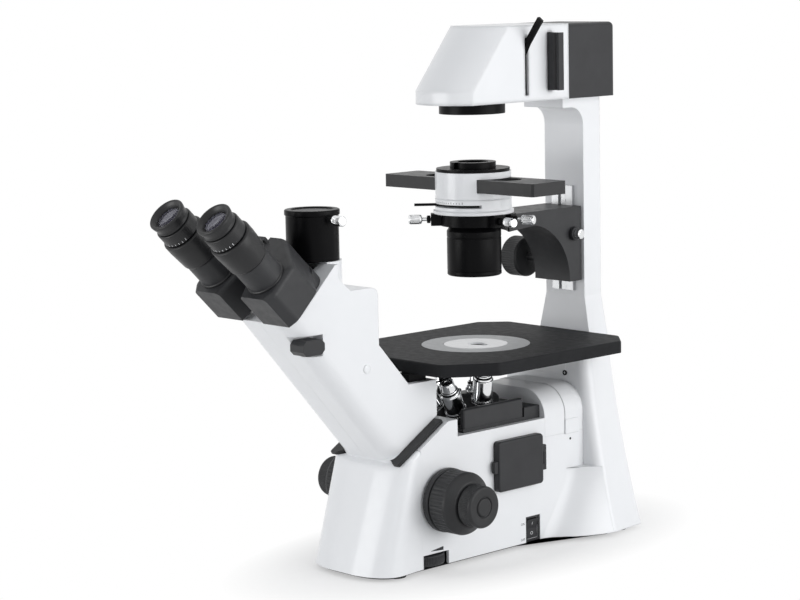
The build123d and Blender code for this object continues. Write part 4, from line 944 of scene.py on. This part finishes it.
@dataclass
class Binocular:
    """Eyepieces, their diopter rings, eyecups and eye lenses.

    Attributes:
        tube_x: Half the distance between the eyes.
        pivot: Middle of the plate that both housings turn on.
        drop: Distance from the pivot's axis to the tubes' plane.
        dial: Ribbed dial on the end of the hinge between the tubes.
        barrel: Tube with its collar and the wider eyepiece body.
        cup: Soft eyecup with a rolled lip round the eye lens.
        ring: Diopter ring with a plain band under its knurl.
        lens: Eye lens.
        scale: Lines on the ring's band.
    """

    tube_x: float = 33.0
    pivot: Vec = (0.0, -236.7, 282.0)
    drop: float = 29.6
    dial: Turning = Turning(
        ((46.5, 0), (46.5, 10.1), (46.9, 10.6), (49.3, 10.6), (49.9, 10), (49.9, 5.2), (49.3, 4.6), (49.3, 0)),
        0.3, Flutes(36, 0.5, 47.4, 48.8),
    )
    barrel: Turning = Turning(
        (
            (52.3, 0), (52.3, 18.7), (54.3, 18.7), (55.3, 17.1), (56.3, 16.8), (76.7, 16.8), (77, 16.1), (78.2, 16.1),
            (78.5, 17.5), (81.3, 19.2), (100.7, 20.4), (108.7, 20.4), (109.6, 18.8), (109.6, 14),
            (123.5, 14), (123.5, 0),
        ),
        0.5,
    )
    cup: Turning = Turning(
        (
            (123.2, 0), (123.2, 16.2), (124.7, 16.9), (126.3, 16.2), (131.6, 17.5), (133.8, 17.8), (135, 16.5),
            (134.6, 15), (132.4, 12.6), (130.6, 11.4), (129.4, 11.2), (129.4, 0),
        ),
        0.9, steps=6,
    )
    ring: Turning = Turning(
        ((109.9, 14.3), (109.9, 17.4), (110.8, 18.2), (122.3, 18.2), (123.2, 17.4), (123.2, 14.3), (109.9, 14.3)),
        0.4, Flutes(60, 0.55, 114.3, 122.0),
    )
    lens: Dome = Dome(129.5, 129.8, 1.7, 11.2, 14)
    scale: Scale = Scale(18.2, 111.3, (-150.0, -30.0), 11, 5, (2.6, 1.7), 0.55)

    def build(self, shop: Workshop) -> None:
        """Make both eyepieces, put them on their housings, and finish the hinge between them."""
        sight = (0.0, -1.0, 1.0)
        shop.mount(Seat(self.pivot, sight), ("hinge_dial", self.dial, BLACK_MOULDING, "stand"))
        fall = self.drop * math.sqrt(0.5)
        for side in Side:
            seat = Seat((side.value * self.tube_x, self.pivot[1] - fall, self.pivot[2] - fall), sight)
            word, eye, ring = side.word, f"eye_{side.word}", f"diopter_{side.word}"
            shop.mount(
                seat,
                (f"eyepiece_barrel_{word}", self.barrel, EYEPIECE_BLACK, eye, f"eyepiece_{word}"),
                (f"eyecup_{word}", self.cup, EYEPIECE_BLACK, eye),
                (f"eye_lens_{word}", self.lens, LENS_GLASS, eye),
                (f"diopter_grip_{word}", self.ring, EYEPIECE_BLACK, ring, f"diopter_ring_{word}"),
                (f"diopter_scale_{word}", self.scale, INSERT_WHITE, ring),
            )


@dataclass
class PhotoPort:
    """Upright camera tube: its wall with a rolled lip, a dust lid and a knurled clamping screw."""

    y: float = -210.0
    screw_z: float = 342.0
    tube: Turning = Turning(
        (
            (304.2, 19), (304.2, 24.5), (345.6, 24.5), (346, 25.6), (350.3, 25.6), (351, 24.8), (351, 20.2),
            (349.8, 19), (304.2, 19),
        ),
        0.4, columns=128,
    )
    lid: Turning = Turning(((347.7, 0), (347.7, 18.95), (349.7, 18.95), (349.7, 0)), 0.3, columns=128)
    screw: Turning = Turning(
        (
            (19.5, 0), (19.5, 2), (29.6, 2), (29.8, 3.6), (30.6, 4.6), (31.2, 4.8), (41.6, 4.8), (42.3, 4.2),
            (42.5, 3.2), (42.2, 0),
        ),
        0.25, Flutes(26, 0.35, 31.9, 41.0, 0.8),
    )

    def build(self, shop: Workshop) -> None:
        """Make the tube, its lid and its screw."""
        shop.mount(
            Seat((0.0, self.y, 0.0)),
            ("photo_tube_wall", self.tube, BLACK_ANODISED, "stand", "photo_tube"),
            ("photo_tube_lid", self.lid, BLACK_MOULDING, "stand"),
        )
        seat = across(Side.RIGHT, (0.0, self.y, self.screw_z))
        shop.mount(seat, ("photo_clamp_knob", self.screw, CHROME, "photo_clamp", "photo_screw"))


@dataclass
class FocusDrive:
    """Knobs on both sides.

    Attributes:
        shaft: Place of the crosswise shaft.
        coarse: Ribbed barrel with a bevelled outer face.
        fine: Knurled knob with a raised button in its end face.
        collar: Plain ring against the base that sets the drive's stiffness or its upper stop.
    """

    shaft: Vec = (0.0, -99.0, 68.0)
    coarse: Turning = Turning(
        (
            (62.1, 12.3), (62.1, 28.8), (63.2, 30), (81.8, 30), (83.4, 29.4), (84.6, 28.2), (89.4, 22.6), (90, 21.6),
            (90, 12.3), (62.1, 12.3),
        ),
        0.6, Flutes(44, 0.8, 64.2, 81.0, 1.8, 1.2),
    )
    fine: Turning = Turning(
        (
            (90.3, 0), (90.3, 18.6), (91.6, 20), (104.6, 20), (106.2, 19.3), (106.9, 18), (106.6, 10.4), (105.5, 9.8),
            (105.5, 9), (107, 8.4), (107.3, 7.4), (107.1, 0),
        ),
        0.5, Flutes(76, 0.5, 92.6, 103.8, 1.2, 0.8),
    )
    collar: Turning = Turning(
        ((55.1, 16.2), (55.1, 29.95), (56, 30.75), (60.4, 30.75), (61.4, 29.75), (61.4, 16.2), (55.1, 16.2)),
        0.5, Flutes(90, 0.22, 56.4, 60.0, 1.0, 0.4),
    )

    def build(self, shop: Workshop) -> None:
        """Make the knobs of both sides."""
        for side, body in ((Side.LEFT, "lock"), (Side.RIGHT, "tension")):
            word = side.word
            shop.mount(
                across(side, self.shaft),
                (f"coarse_grip_{word}", self.coarse, GRIP_RUBBER, "coarse_drive", f"coarse_knob_{word}"),
                (f"fine_grip_{word}", self.fine, GRIP_RUBBER, "fine_drive", f"fine_knob_{word}"),
                (f"{body}_collar", self.collar, BLACK_MOULDING, body, f"{body}_ring"),
            )


@dataclass
class Nosepiece:
    """Tilted turret with objectives fanned about its axis, between the carriage's side walls.

    Attributes:
        tilt: Lean of the turret's axis in degrees.
        middle: Middle of the turret.
        rim_r: Radius of its rim.
        half_t: Half the rim's thickness.
        reaches: Distance of each objective's nose from the axes' crossing.
        barrel_r: Radius of a barrel.
        wall_at: Inner middle of the right side wall.
        wall: Side wall with a bevelled upper edge.
    """

    tilt: float = 17.0
    middle: Vec = (0.0, -21.0, 137.0)
    rim_r: float = 38.5
    half_t: float = 4.25
    reaches: tuple[float, ...] = (104.0, 112.0, 118.0, 122.0, 123.5)
    barrel_r: float = 9.9
    wall_at: Vec = (39.7, -22.0, 134.5)
    wall: Plate = Plate(rectangle(82.0, 27.0), 2.5, ((0.5, 0), (0, 0.5), (0, 4.4), (1.2, 5.6)))

    @property
    def lean(self) -> float:
        """Lean of the turret's axis in radians."""
        return math.radians(self.tilt)

    def disc(self) -> Turning:
        """Fluted rim and conical face of the turret."""
        h, r = self.half_t, self.rim_r
        peak = h + math.tan(self.lean) * (r - 11)
        corners = (
            (0.6, 0), (0.6, 8.4), (-8.9, 8.4), (-8.9, r - 6.2), (-h, r - 6.2), (-h, r - 0.8), (-h + 0.8, r),
            (h - 0.8, r), (h, r - 1), (h, r - 2), (peak, 9), (peak, 0),
        )
        return Turning(corners, 0.3, Flutes(40, 1.3, -3.3, 3.3, 1.8, 0.6))

    def barrel(self, nose: float) -> Turning:
        """Plated barrel of one objective, from its knurled foot on the turret to its nose."""
        r, lean = self.barrel_r, self.lean
        slant = self.half_t - self.middle[1] / math.sin(lean) + math.tan(lean) * (self.rim_r - 2)
        foot = slant * math.cos(lean)
        corners = (
            (foot - 2, 0), (foot - 2, 10.2), (foot + 0.3, 10.2), (foot + 0.7, 10.9), (foot + 4.4, 10.9),
            (foot + 4.8, r), (nose - 14.2, r), (nose - 13.4, r - 0.8), (nose - 9, 8), (nose - 8.6, 7),
            (nose - 2.2, 6.2), (nose - 0.4, 5.6), (nose, 5), (nose - 0.5, 3.4), (nose - 1, 3.2), (nose - 1, 0),
        )
        return Turning(corners, 0.2, Flutes(32, 0.35, foot + 1.1, foot + 4.0, 0.8, 0.3))

    def band(self, nose: float) -> Turning:
        """Dark ring round the upper part of a barrel."""
        low, top = nose - 12.0, nose - 10.0
        return Turning(((low, 6.5), (low, 8.85), (top, 8.55), (top, 6.5), (low, 6.5)), 0.15, columns=64)

    def lens(self, nose: float) -> Dome:
        """Front lens in the nose of an objective."""
        return Dome(nose - 1.2, nose - 0.95, 0.4, 3.3, 8, 40)

    def build(self, shop: Workshop) -> None:
        """Make the carriage's side walls, the turret and its objectives."""
        shop.mount(on_flanks(self.wall_at), ("carriage_walls", self.wall, GREY_MOULDING, "focus_carriage"))
        axis = (0.0, -math.sin(self.lean), math.cos(self.lean))
        turret = Seat(self.middle, axis)
        shop.mount(turret, ("turret_disc", self.disc(), BLACK_MOULDING, "nosepiece", "nosepiece_turret"))
        crossing = (0.0, 0.0, self.middle[2] + self.middle[1] / math.tan(self.lean))
        turns = [360.0 * i / len(self.reaches) for i in range(len(self.reaches))]
        seats = [Seat(crossing, tuple(turned_about((0, 0, 1), axis, turn))) for turn in turns]
        for name, make, finish, *nodes in (
            ("objective_barrels", self.barrel, CHROME, "objectives"),
            ("objective_bands", self.band, BLACK_ANODISED),
            ("objective_lenses", self.lens, LENS_GLASS),
        ):
            grids = [seat.carry(grid) for seat, nose in zip(seats, self.reaches) for grid in make(nose).grids()]
            shop.add(name, grids, finish, "nosepiece", *nodes)


@dataclass
class Condenser:
    """Condenser with its small pieces.

    Attributes:
        screw_z: Height of the centring screws.
        screw_angles: Their names and their angles round the optical axis.
        wheel_shaft: Place of the height wheel's shaft.
        clamp_shaft: Place of the carrier's clamping screw.
        screw: Plain spindle with a knurled head.
        nut: Dark locking nut on a screw's spindle.
        wheel: Height wheel with a shallow dish in its outer face.
        clamp_collar: Dark collar of the clamping screw.
        clamp_head: Bright knurled head of the clamping screw.
        tube: Lens tube with turned rings outside and a threaded mouth.
        scale: Aperture scale on the drum, over the lever's slot.
    """

    screw_z: float = 324.0
    screw_angles: tuple[tuple[str, float], ...] = (("left", -133.0), ("front", -8.0), ("right", 22.0))
    wheel_shaft: Vec = (0.0, 117.0, 272.0)
    clamp_shaft: Vec = (0.0, 118.0, 300.0)
    screw: Turning = Turning(
        (
            (24.8, 0), (24.8, 1.75), (50.2, 1.75), (50.6, 3.4), (51.4, 4.4), (52.2, 4.6), (62.8, 4.6), (63.6, 4.2),
            (64, 3.4), (63.8, 0),
        ),
        0.25, Flutes(26, 0.3, 53.0, 62.2, 0.8),
    )
    nut: Turning = Turning(
        ((42.4, 1.7), (42.4, 3.2), (43, 3.8), (45.4, 3.8), (46, 3), (46, 1.7), (42.4, 1.7)), 0.2, columns=6
    )
    wheel: Turning = Turning(
        (
            (0.6, 0), (0.6, 3.9), (37, 3.9), (37.4, 9), (38, 18.8), (39.4, 20.5), (57.4, 20.5), (58.6, 19.8),
            (59, 18.6), (58.8, 14), (57.6, 12.6), (57.6, 0),
        ),
        0.5, Flutes(48, 0.6, 40.6, 56.4, 1.4, 0.8),
    )
    clamp_collar: Turning = Turning(
        ((0.4, 0), (0.4, 2.45), (24.4, 2.45), (24.4, 6.2), (25.2, 7), (28, 7), (28.8, 6), (28.8, 0)), 0.4
    )
    clamp_head: Turning = Turning(
        ((28.7, 0), (28.7, 4.2), (29.4, 4.9), (34.4, 4.9), (35.1, 4.3), (35.3, 3.4), (35.1, 0)),
        0.25, Flutes(26, 0.3, 29.8, 34.0, 0.8, 0.4),
    )
    tube: Turning = Turning(
        (
            (269, 20.4), (269, 25.7), (269.9, 26.7), (273, 26.7), (273.2, 26.35), (273.8, 26.35), (274, 26.7),
            (305.6, 26.7), (305.9, 26.3), (306.6, 26.3), (306.9, 26.7), (312.4, 26.7), (316.8, 24), (329.6, 24),
            (329.6, 20), (272.4, 20.05), (269, 20.4),
        ),
        0.2, columns=128,
    )
    scale: Scale = Scale(37.5, 341.2, (-118.0, -62.0), 13, 4, (2.0, 1.2), 0.45)

    def build(self, shop: Workshop) -> None:
        """Make the condenser's small pieces."""
        for word, angle in self.screw_angles:
            way = (math.cos(math.radians(angle)), math.sin(math.radians(angle)), 0.0)
            body = f"centring_{word}"
            shop.mount(
                Seat((0.0, 0.0, self.screw_z), way, (0.0, 0.0, 1.0)),
                (f"{body}_knob", self.screw, CHROME, body, f"centring_screw_{word}"),
                (f"{body}_nut", self.nut, BLACK_ANODISED, body),
            )
        shop.mount(
            across(Side.LEFT, self.wheel_shaft),
            ("height_wheel", self.wheel, GRIP_RUBBER, "condenser_drive", "carrier_wheel"),
        )
        shop.mount(
            across(Side.RIGHT, self.clamp_shaft),
            ("carrier_clamp_collar", self.clamp_collar, BLACK_MOULDING, "condenser_clamp", "carrier_clamp_screw"),
            ("carrier_clamp_head", self.clamp_head, CHROME, "condenser_clamp"),
        )
        shop.mount(
            Seat(),
            ("condenser_tube", self.tube, BLACK_ANODISED, "condenser", "lens_tube"),
            ("aperture_scale", self.scale, BLACK_MOULDING, "condenser"),
        )


@dataclass
class Controls:
    """Dimmer wheel with its wedge sign, the switch's frame and markings, and the column's screws.

    Attributes:
        wall_x: Half width of the base's wall.
        dimmer: Foot of the dimmer wheel's pin.
        wheel: Thumb wheel with fine ribs.
        wedge: Rising wedge that stands for dim to bright.
        rocker: Pivot of the rocker.
        rocker_tilt: Its tilt at rest in degrees.
        facet_x: Distance of a facet's middle from the pivot, outwards.
        facet_y: The same, along the rocker.
        facet_lean: Lean of the facets.
        bezel: The switch's frame.
        words: The switch's words and their heights.
        word_y: Where the words stand along the wall.
        word_size: Line height of the words.
        sign_size: Line height of the signs on the rocker.
        screws: Places of the column's screws.
        cap_screw: Head of a small cap screw with a round socket.
    """

    wall_x: float = 52.5
    dimmer: Vec = (33.5, -110.5, 0.0)
    wheel: Turning = Turning(
        ((5.7, 0), (5.7, 20.7), (6.6, 21.5), (15, 21.5), (15.9, 20.7), (15.9, 2.7), (5.9, 2.7), (5.9, 0)),
        0.3, Flutes(80, 0.55, 7.2, 14.4, 1.0, 0.4),
    )
    wedge: Plate = Plate(
        ((-108, 19.4), (-100.6, 19), (-100.6, 22.6), (-117, 20.6), (-117, 20.2), (-108, 19.4)),
        0.2, ((0, -0.2), (0, 0.06)), 4,
    )
    rocker: Vec = (48.5, 23.5, 17.5)
    rocker_tilt: float = 6.0
    facet_x: float = 2.44
    facet_y: float = 5.0
    facet_lean: float = math.atan(1.2 / 9.7)
    bezel: Frame = Frame((20.2, 25.4), (16.2, 20.8), (-1.95, -0.8), 0.8)
    words: tuple[tuple[str, float], ...] = (("ON", 23.8), ("OFF", 8.2))
    word_y: float = 9.0
    word_size: float = 3.4
    sign_size: float = 4.6
    screws: tuple[Vec, ...] = ((-23.0, 98.0, 161.0), (29.0, 98.0, 161.0))
    cap_screw: Turning = Turning(
        ((-0.3, 0), (-0.3, 2.6), (1.2, 2.6), (1.6, 2.2), (1.6, 1.4), (0.6, 1.3), (0.6, 0)), 0.15, columns=32
    )

    def build(self, shop: Workshop) -> None:
        """Make the wheel, the frame, the screws and the markings."""
        face = Seat((self.wall_x, 0.0, 0.0), (1.0, 0.0, 0.0), (0.0, 1.0, 0.0))
        shop.mount(Seat(self.dimmer), ("dimmer_grip", self.wheel, BLACK_MOULDING, "dimmer", "dimmer_wheel"))
        shop.mount(face, ("dimmer_wedge", self.wedge, BLACK_MOULDING, "stand"))
        around = face.shifted((0.0, self.rocker[1], self.rocker[2] - 0.1))
        shop.mount(around, ("rocker_bezel", self.bezel, BLACK_MOULDING, "stand"))
        heads = [Seat(point, FORWARD) for point in self.screws]
        shop.mount(heads, ("column_screws", self.cap_screw, BLACK_ANODISED, "stand"))
        for word, height in self.words:
            place = face.shifted((0.0, self.word_y, height))
            shop.letter(f"switch_{word.lower()}", word, self.word_size, place, "stand", BLACK_MOULDING)
        self.label_rocker(shop)

    def label_rocker(self, shop: Workshop) -> None:
        """Put I and O on the two leaning facets of the rocker."""
        tip, lean = math.radians(self.rocker_tilt), self.facet_lean
        out = np.array([math.cos(tip), 0.0, -math.sin(tip)])
        up = np.array([math.sin(tip), 0.0, math.cos(tip)])
        for name, word, way in (("rocker_one", "I", 1.0), ("rocker_zero", "O", -1.0)):
            point = np.array(self.rocker) + self.facet_x * out + way * self.facet_y * up
            facing = math.cos(lean) * out - way * math.sin(lean) * up
            seat = Seat(tuple(point), tuple(facing), (0.0, 1.0, 0.0))
            shop.letter(name, word, self.sign_size, seat, "rocker", INSERT_WHITE)


def posed(right: np.ndarray, up: np.ndarray, back: np.ndarray, place: Vec) -> Matrix:
    """Matrix of a camera or lamp from its axes and its place."""
    pose = np.eye(4)
    pose[:3] = np.stack([right, up, back, place], axis=1)
    return Matrix(pose.tolist())


@dataclass(frozen=True)
class Softbox:
    """Rectangular lamp.

    Attributes:
        name: The lamp's name.
        place: Where it hangs, in metres.
        size: Width and height in metres.
        power: Watts.
        aim: The point that it faces, in metres.
    """

    name: str
    place: Vec
    size: Pair
    power: float
    aim: Vec = (0.0, 0.0, 0.25)

    def hang(self) -> None:
        """Put the lamp in the scene."""
        data = bpy.data.lights.new(self.name, "AREA")
        data.shape = "RECTANGLE"
        data.size, data.size_y = self.size
        data.energy = self.power
        back = np.subtract(self.place, self.aim)
        back /= np.linalg.norm(back)
        right = np.cross((0.0, 0.0, 1.0), back)
        right /= np.linalg.norm(right)
        shown(self.name, data).matrix_world = posed(right, np.cross(back, right), back, self.place)


@dataclass
class Studio:
    """Floor, lamps, white surround and camera.

    Attributes:
        eye: Camera place in the shared frame, in metres.
        heading: Angle of the view round Z in degrees.
        pitch: Angle of the view below the horizon in degrees.
        roll: Turn of the camera about its own line of sight in degrees.
        lens: Focal length in millimetres on a 36 mm wide sensor.
        floor_half: Half the floor's side in metres.
        fill: Strength of the even light from all sides.
        oval_shift: Moves the floor's shaded oval under the object.
        oval_scale: Shape of that oval.
        fade: Distances from its middle between which the floor goes to white.
        glow: Share of white at those distances.
        lamps: The softboxes.
    """

    eye: Vec = (1.59865, -1.5074, 0.5632)
    heading: float = 46.747
    pitch: float = 8.0056
    roll: float = -1.1652
    lens: float = 104.56
    floor_half: float = 30.0
    fill: float = 0.5
    oval_shift: Vec = (0.0, -0.083, 0.0)
    oval_scale: Vec = (1.85, 1.0, 1.0)
    fade: Pair = (0.17, 0.29)
    glow: Pair = (0.45, 1.0)
    lamps: tuple[Softbox, ...] = (
        Softbox("rear_softbox", (1.9, 1.0, 0.7), (1.2, 1.5), 15.5),
        Softbox("right_softbox", (2.1, 0.1, 0.6), (1.2, 1.5), 12.4),
        Softbox("low_softbox", (-0.7, -1.9, 0.35), (1.4, 0.6), 14.0),
        Softbox("top_softbox", (0.1, -0.1, 2.0), (1.6, 1.6), 2.5, (0.0, 0.0, 0.0)),
    )

    def camera(self) -> None:
        """Put the camera at the photograph's viewpoint."""
        turn, tip, roll = (math.radians(a) for a in (self.heading, self.pitch, self.roll))
        back = np.array([math.sin(turn) * math.cos(tip), -math.cos(turn) * math.cos(tip), math.sin(tip)])
        level = np.array([math.cos(turn), math.sin(turn), 0.0])
        up = np.cross(back, level)
        data = bpy.data.cameras.new("photo_camera")
        data.lens, data.sensor_width, data.sensor_fit, data.clip_end = self.lens, 36.0, "HORIZONTAL", 100.0
        camera = shown("photo_camera", data)
        right = math.cos(roll) * level + math.sin(roll) * up
        camera.matrix_world = posed(right, math.cos(roll) * up - math.sin(roll) * level, back, self.eye)
        bpy.context.scene.camera = camera

    def surround(self) -> None:
        """White world where it is seen, and a soft even fill where it lights."""
        world = bpy.data.worlds.new("studio")
        world.use_nodes = True
        nodes = Nodes(world.node_tree)
        light = nodes.add("Background", Color=(0.95, 0.97, 1.0, 1.0), Strength=self.fill)
        white = nodes.add("Background", Color=(1.0, 1.0, 1.0, 1.0), Strength=1.0)
        out = nodes.add("OutputWorld")
        nodes.join(nodes.mix(nodes.seen(), light, white), out.inputs["Surface"])
        bpy.context.scene.world = world

    def floor(self) -> None:
        """Pale floor that keeps a soft shadow near the object and fades to white further off."""
        half = self.floor_half
        mesh = bpy.data.meshes.new("floor")
        corners = [(-half, -half, 0.0), (half, -half, 0.0), (half, half, 0.0), (-half, half, 0.0)]
        mesh.from_pydata(corners, [], [(0, 1, 2, 3)])
        nodes = Surface("floor_white")
        speck = nodes.tint(nodes.noise(60.0, 3.0), (0.86, 0.86, 0.86), (0.88, 0.88, 0.88))
        nodes.set(Base_Color=speck, Roughness=0.7, Specular_IOR_Level=0.1)
        oval = nodes.add("Mapping", Location=self.oval_shift, Scale=self.oval_scale)
        nodes.join(nodes.place, oval.inputs["Vector"])
        reach = nodes.add("VectorMath", "LENGTH")
        nodes.join(oval.outputs["Vector"], reach.inputs[0])
        share = nodes.add("Math", "MULTIPLY")
        nodes.join(nodes.spread(reach.outputs["Value"], self.fade, self.glow), share.inputs[0])
        nodes.join(nodes.seen(), share.inputs[1])
        glow = nodes.add("Emission", Strength=1.0)
        nodes.join(nodes.mix(share.outputs[0], nodes.shader, glow), nodes.output.inputs["Surface"])
        mesh.materials.append(nodes.material)
        shown("floor", mesh)

    def build(self) -> None:
        """Set up the view, the surround, the floor and the lamps."""
        bpy.context.scene.view_settings.view_transform = "Standard"
        self.camera()
        self.surround()
        self.floor()
        for lamp in self.lamps:
            lamp.hang()


def main() -> None:
    """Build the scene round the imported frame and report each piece."""
    logging.basicConfig(level=logging.INFO, format="%(name)s: %(message)s")
    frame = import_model()
    shop = Workshop(frame)
    Studio().build()
    shop.dress_nodes()
    for assembly in (
        BaseShell(), Trims(), Binocular(), PhotoPort(), FocusDrive(), Nosepiece(), Condenser(), Controls(),
    ):
        assembly.build(shop)


if __name__ == "__main__":
    main()
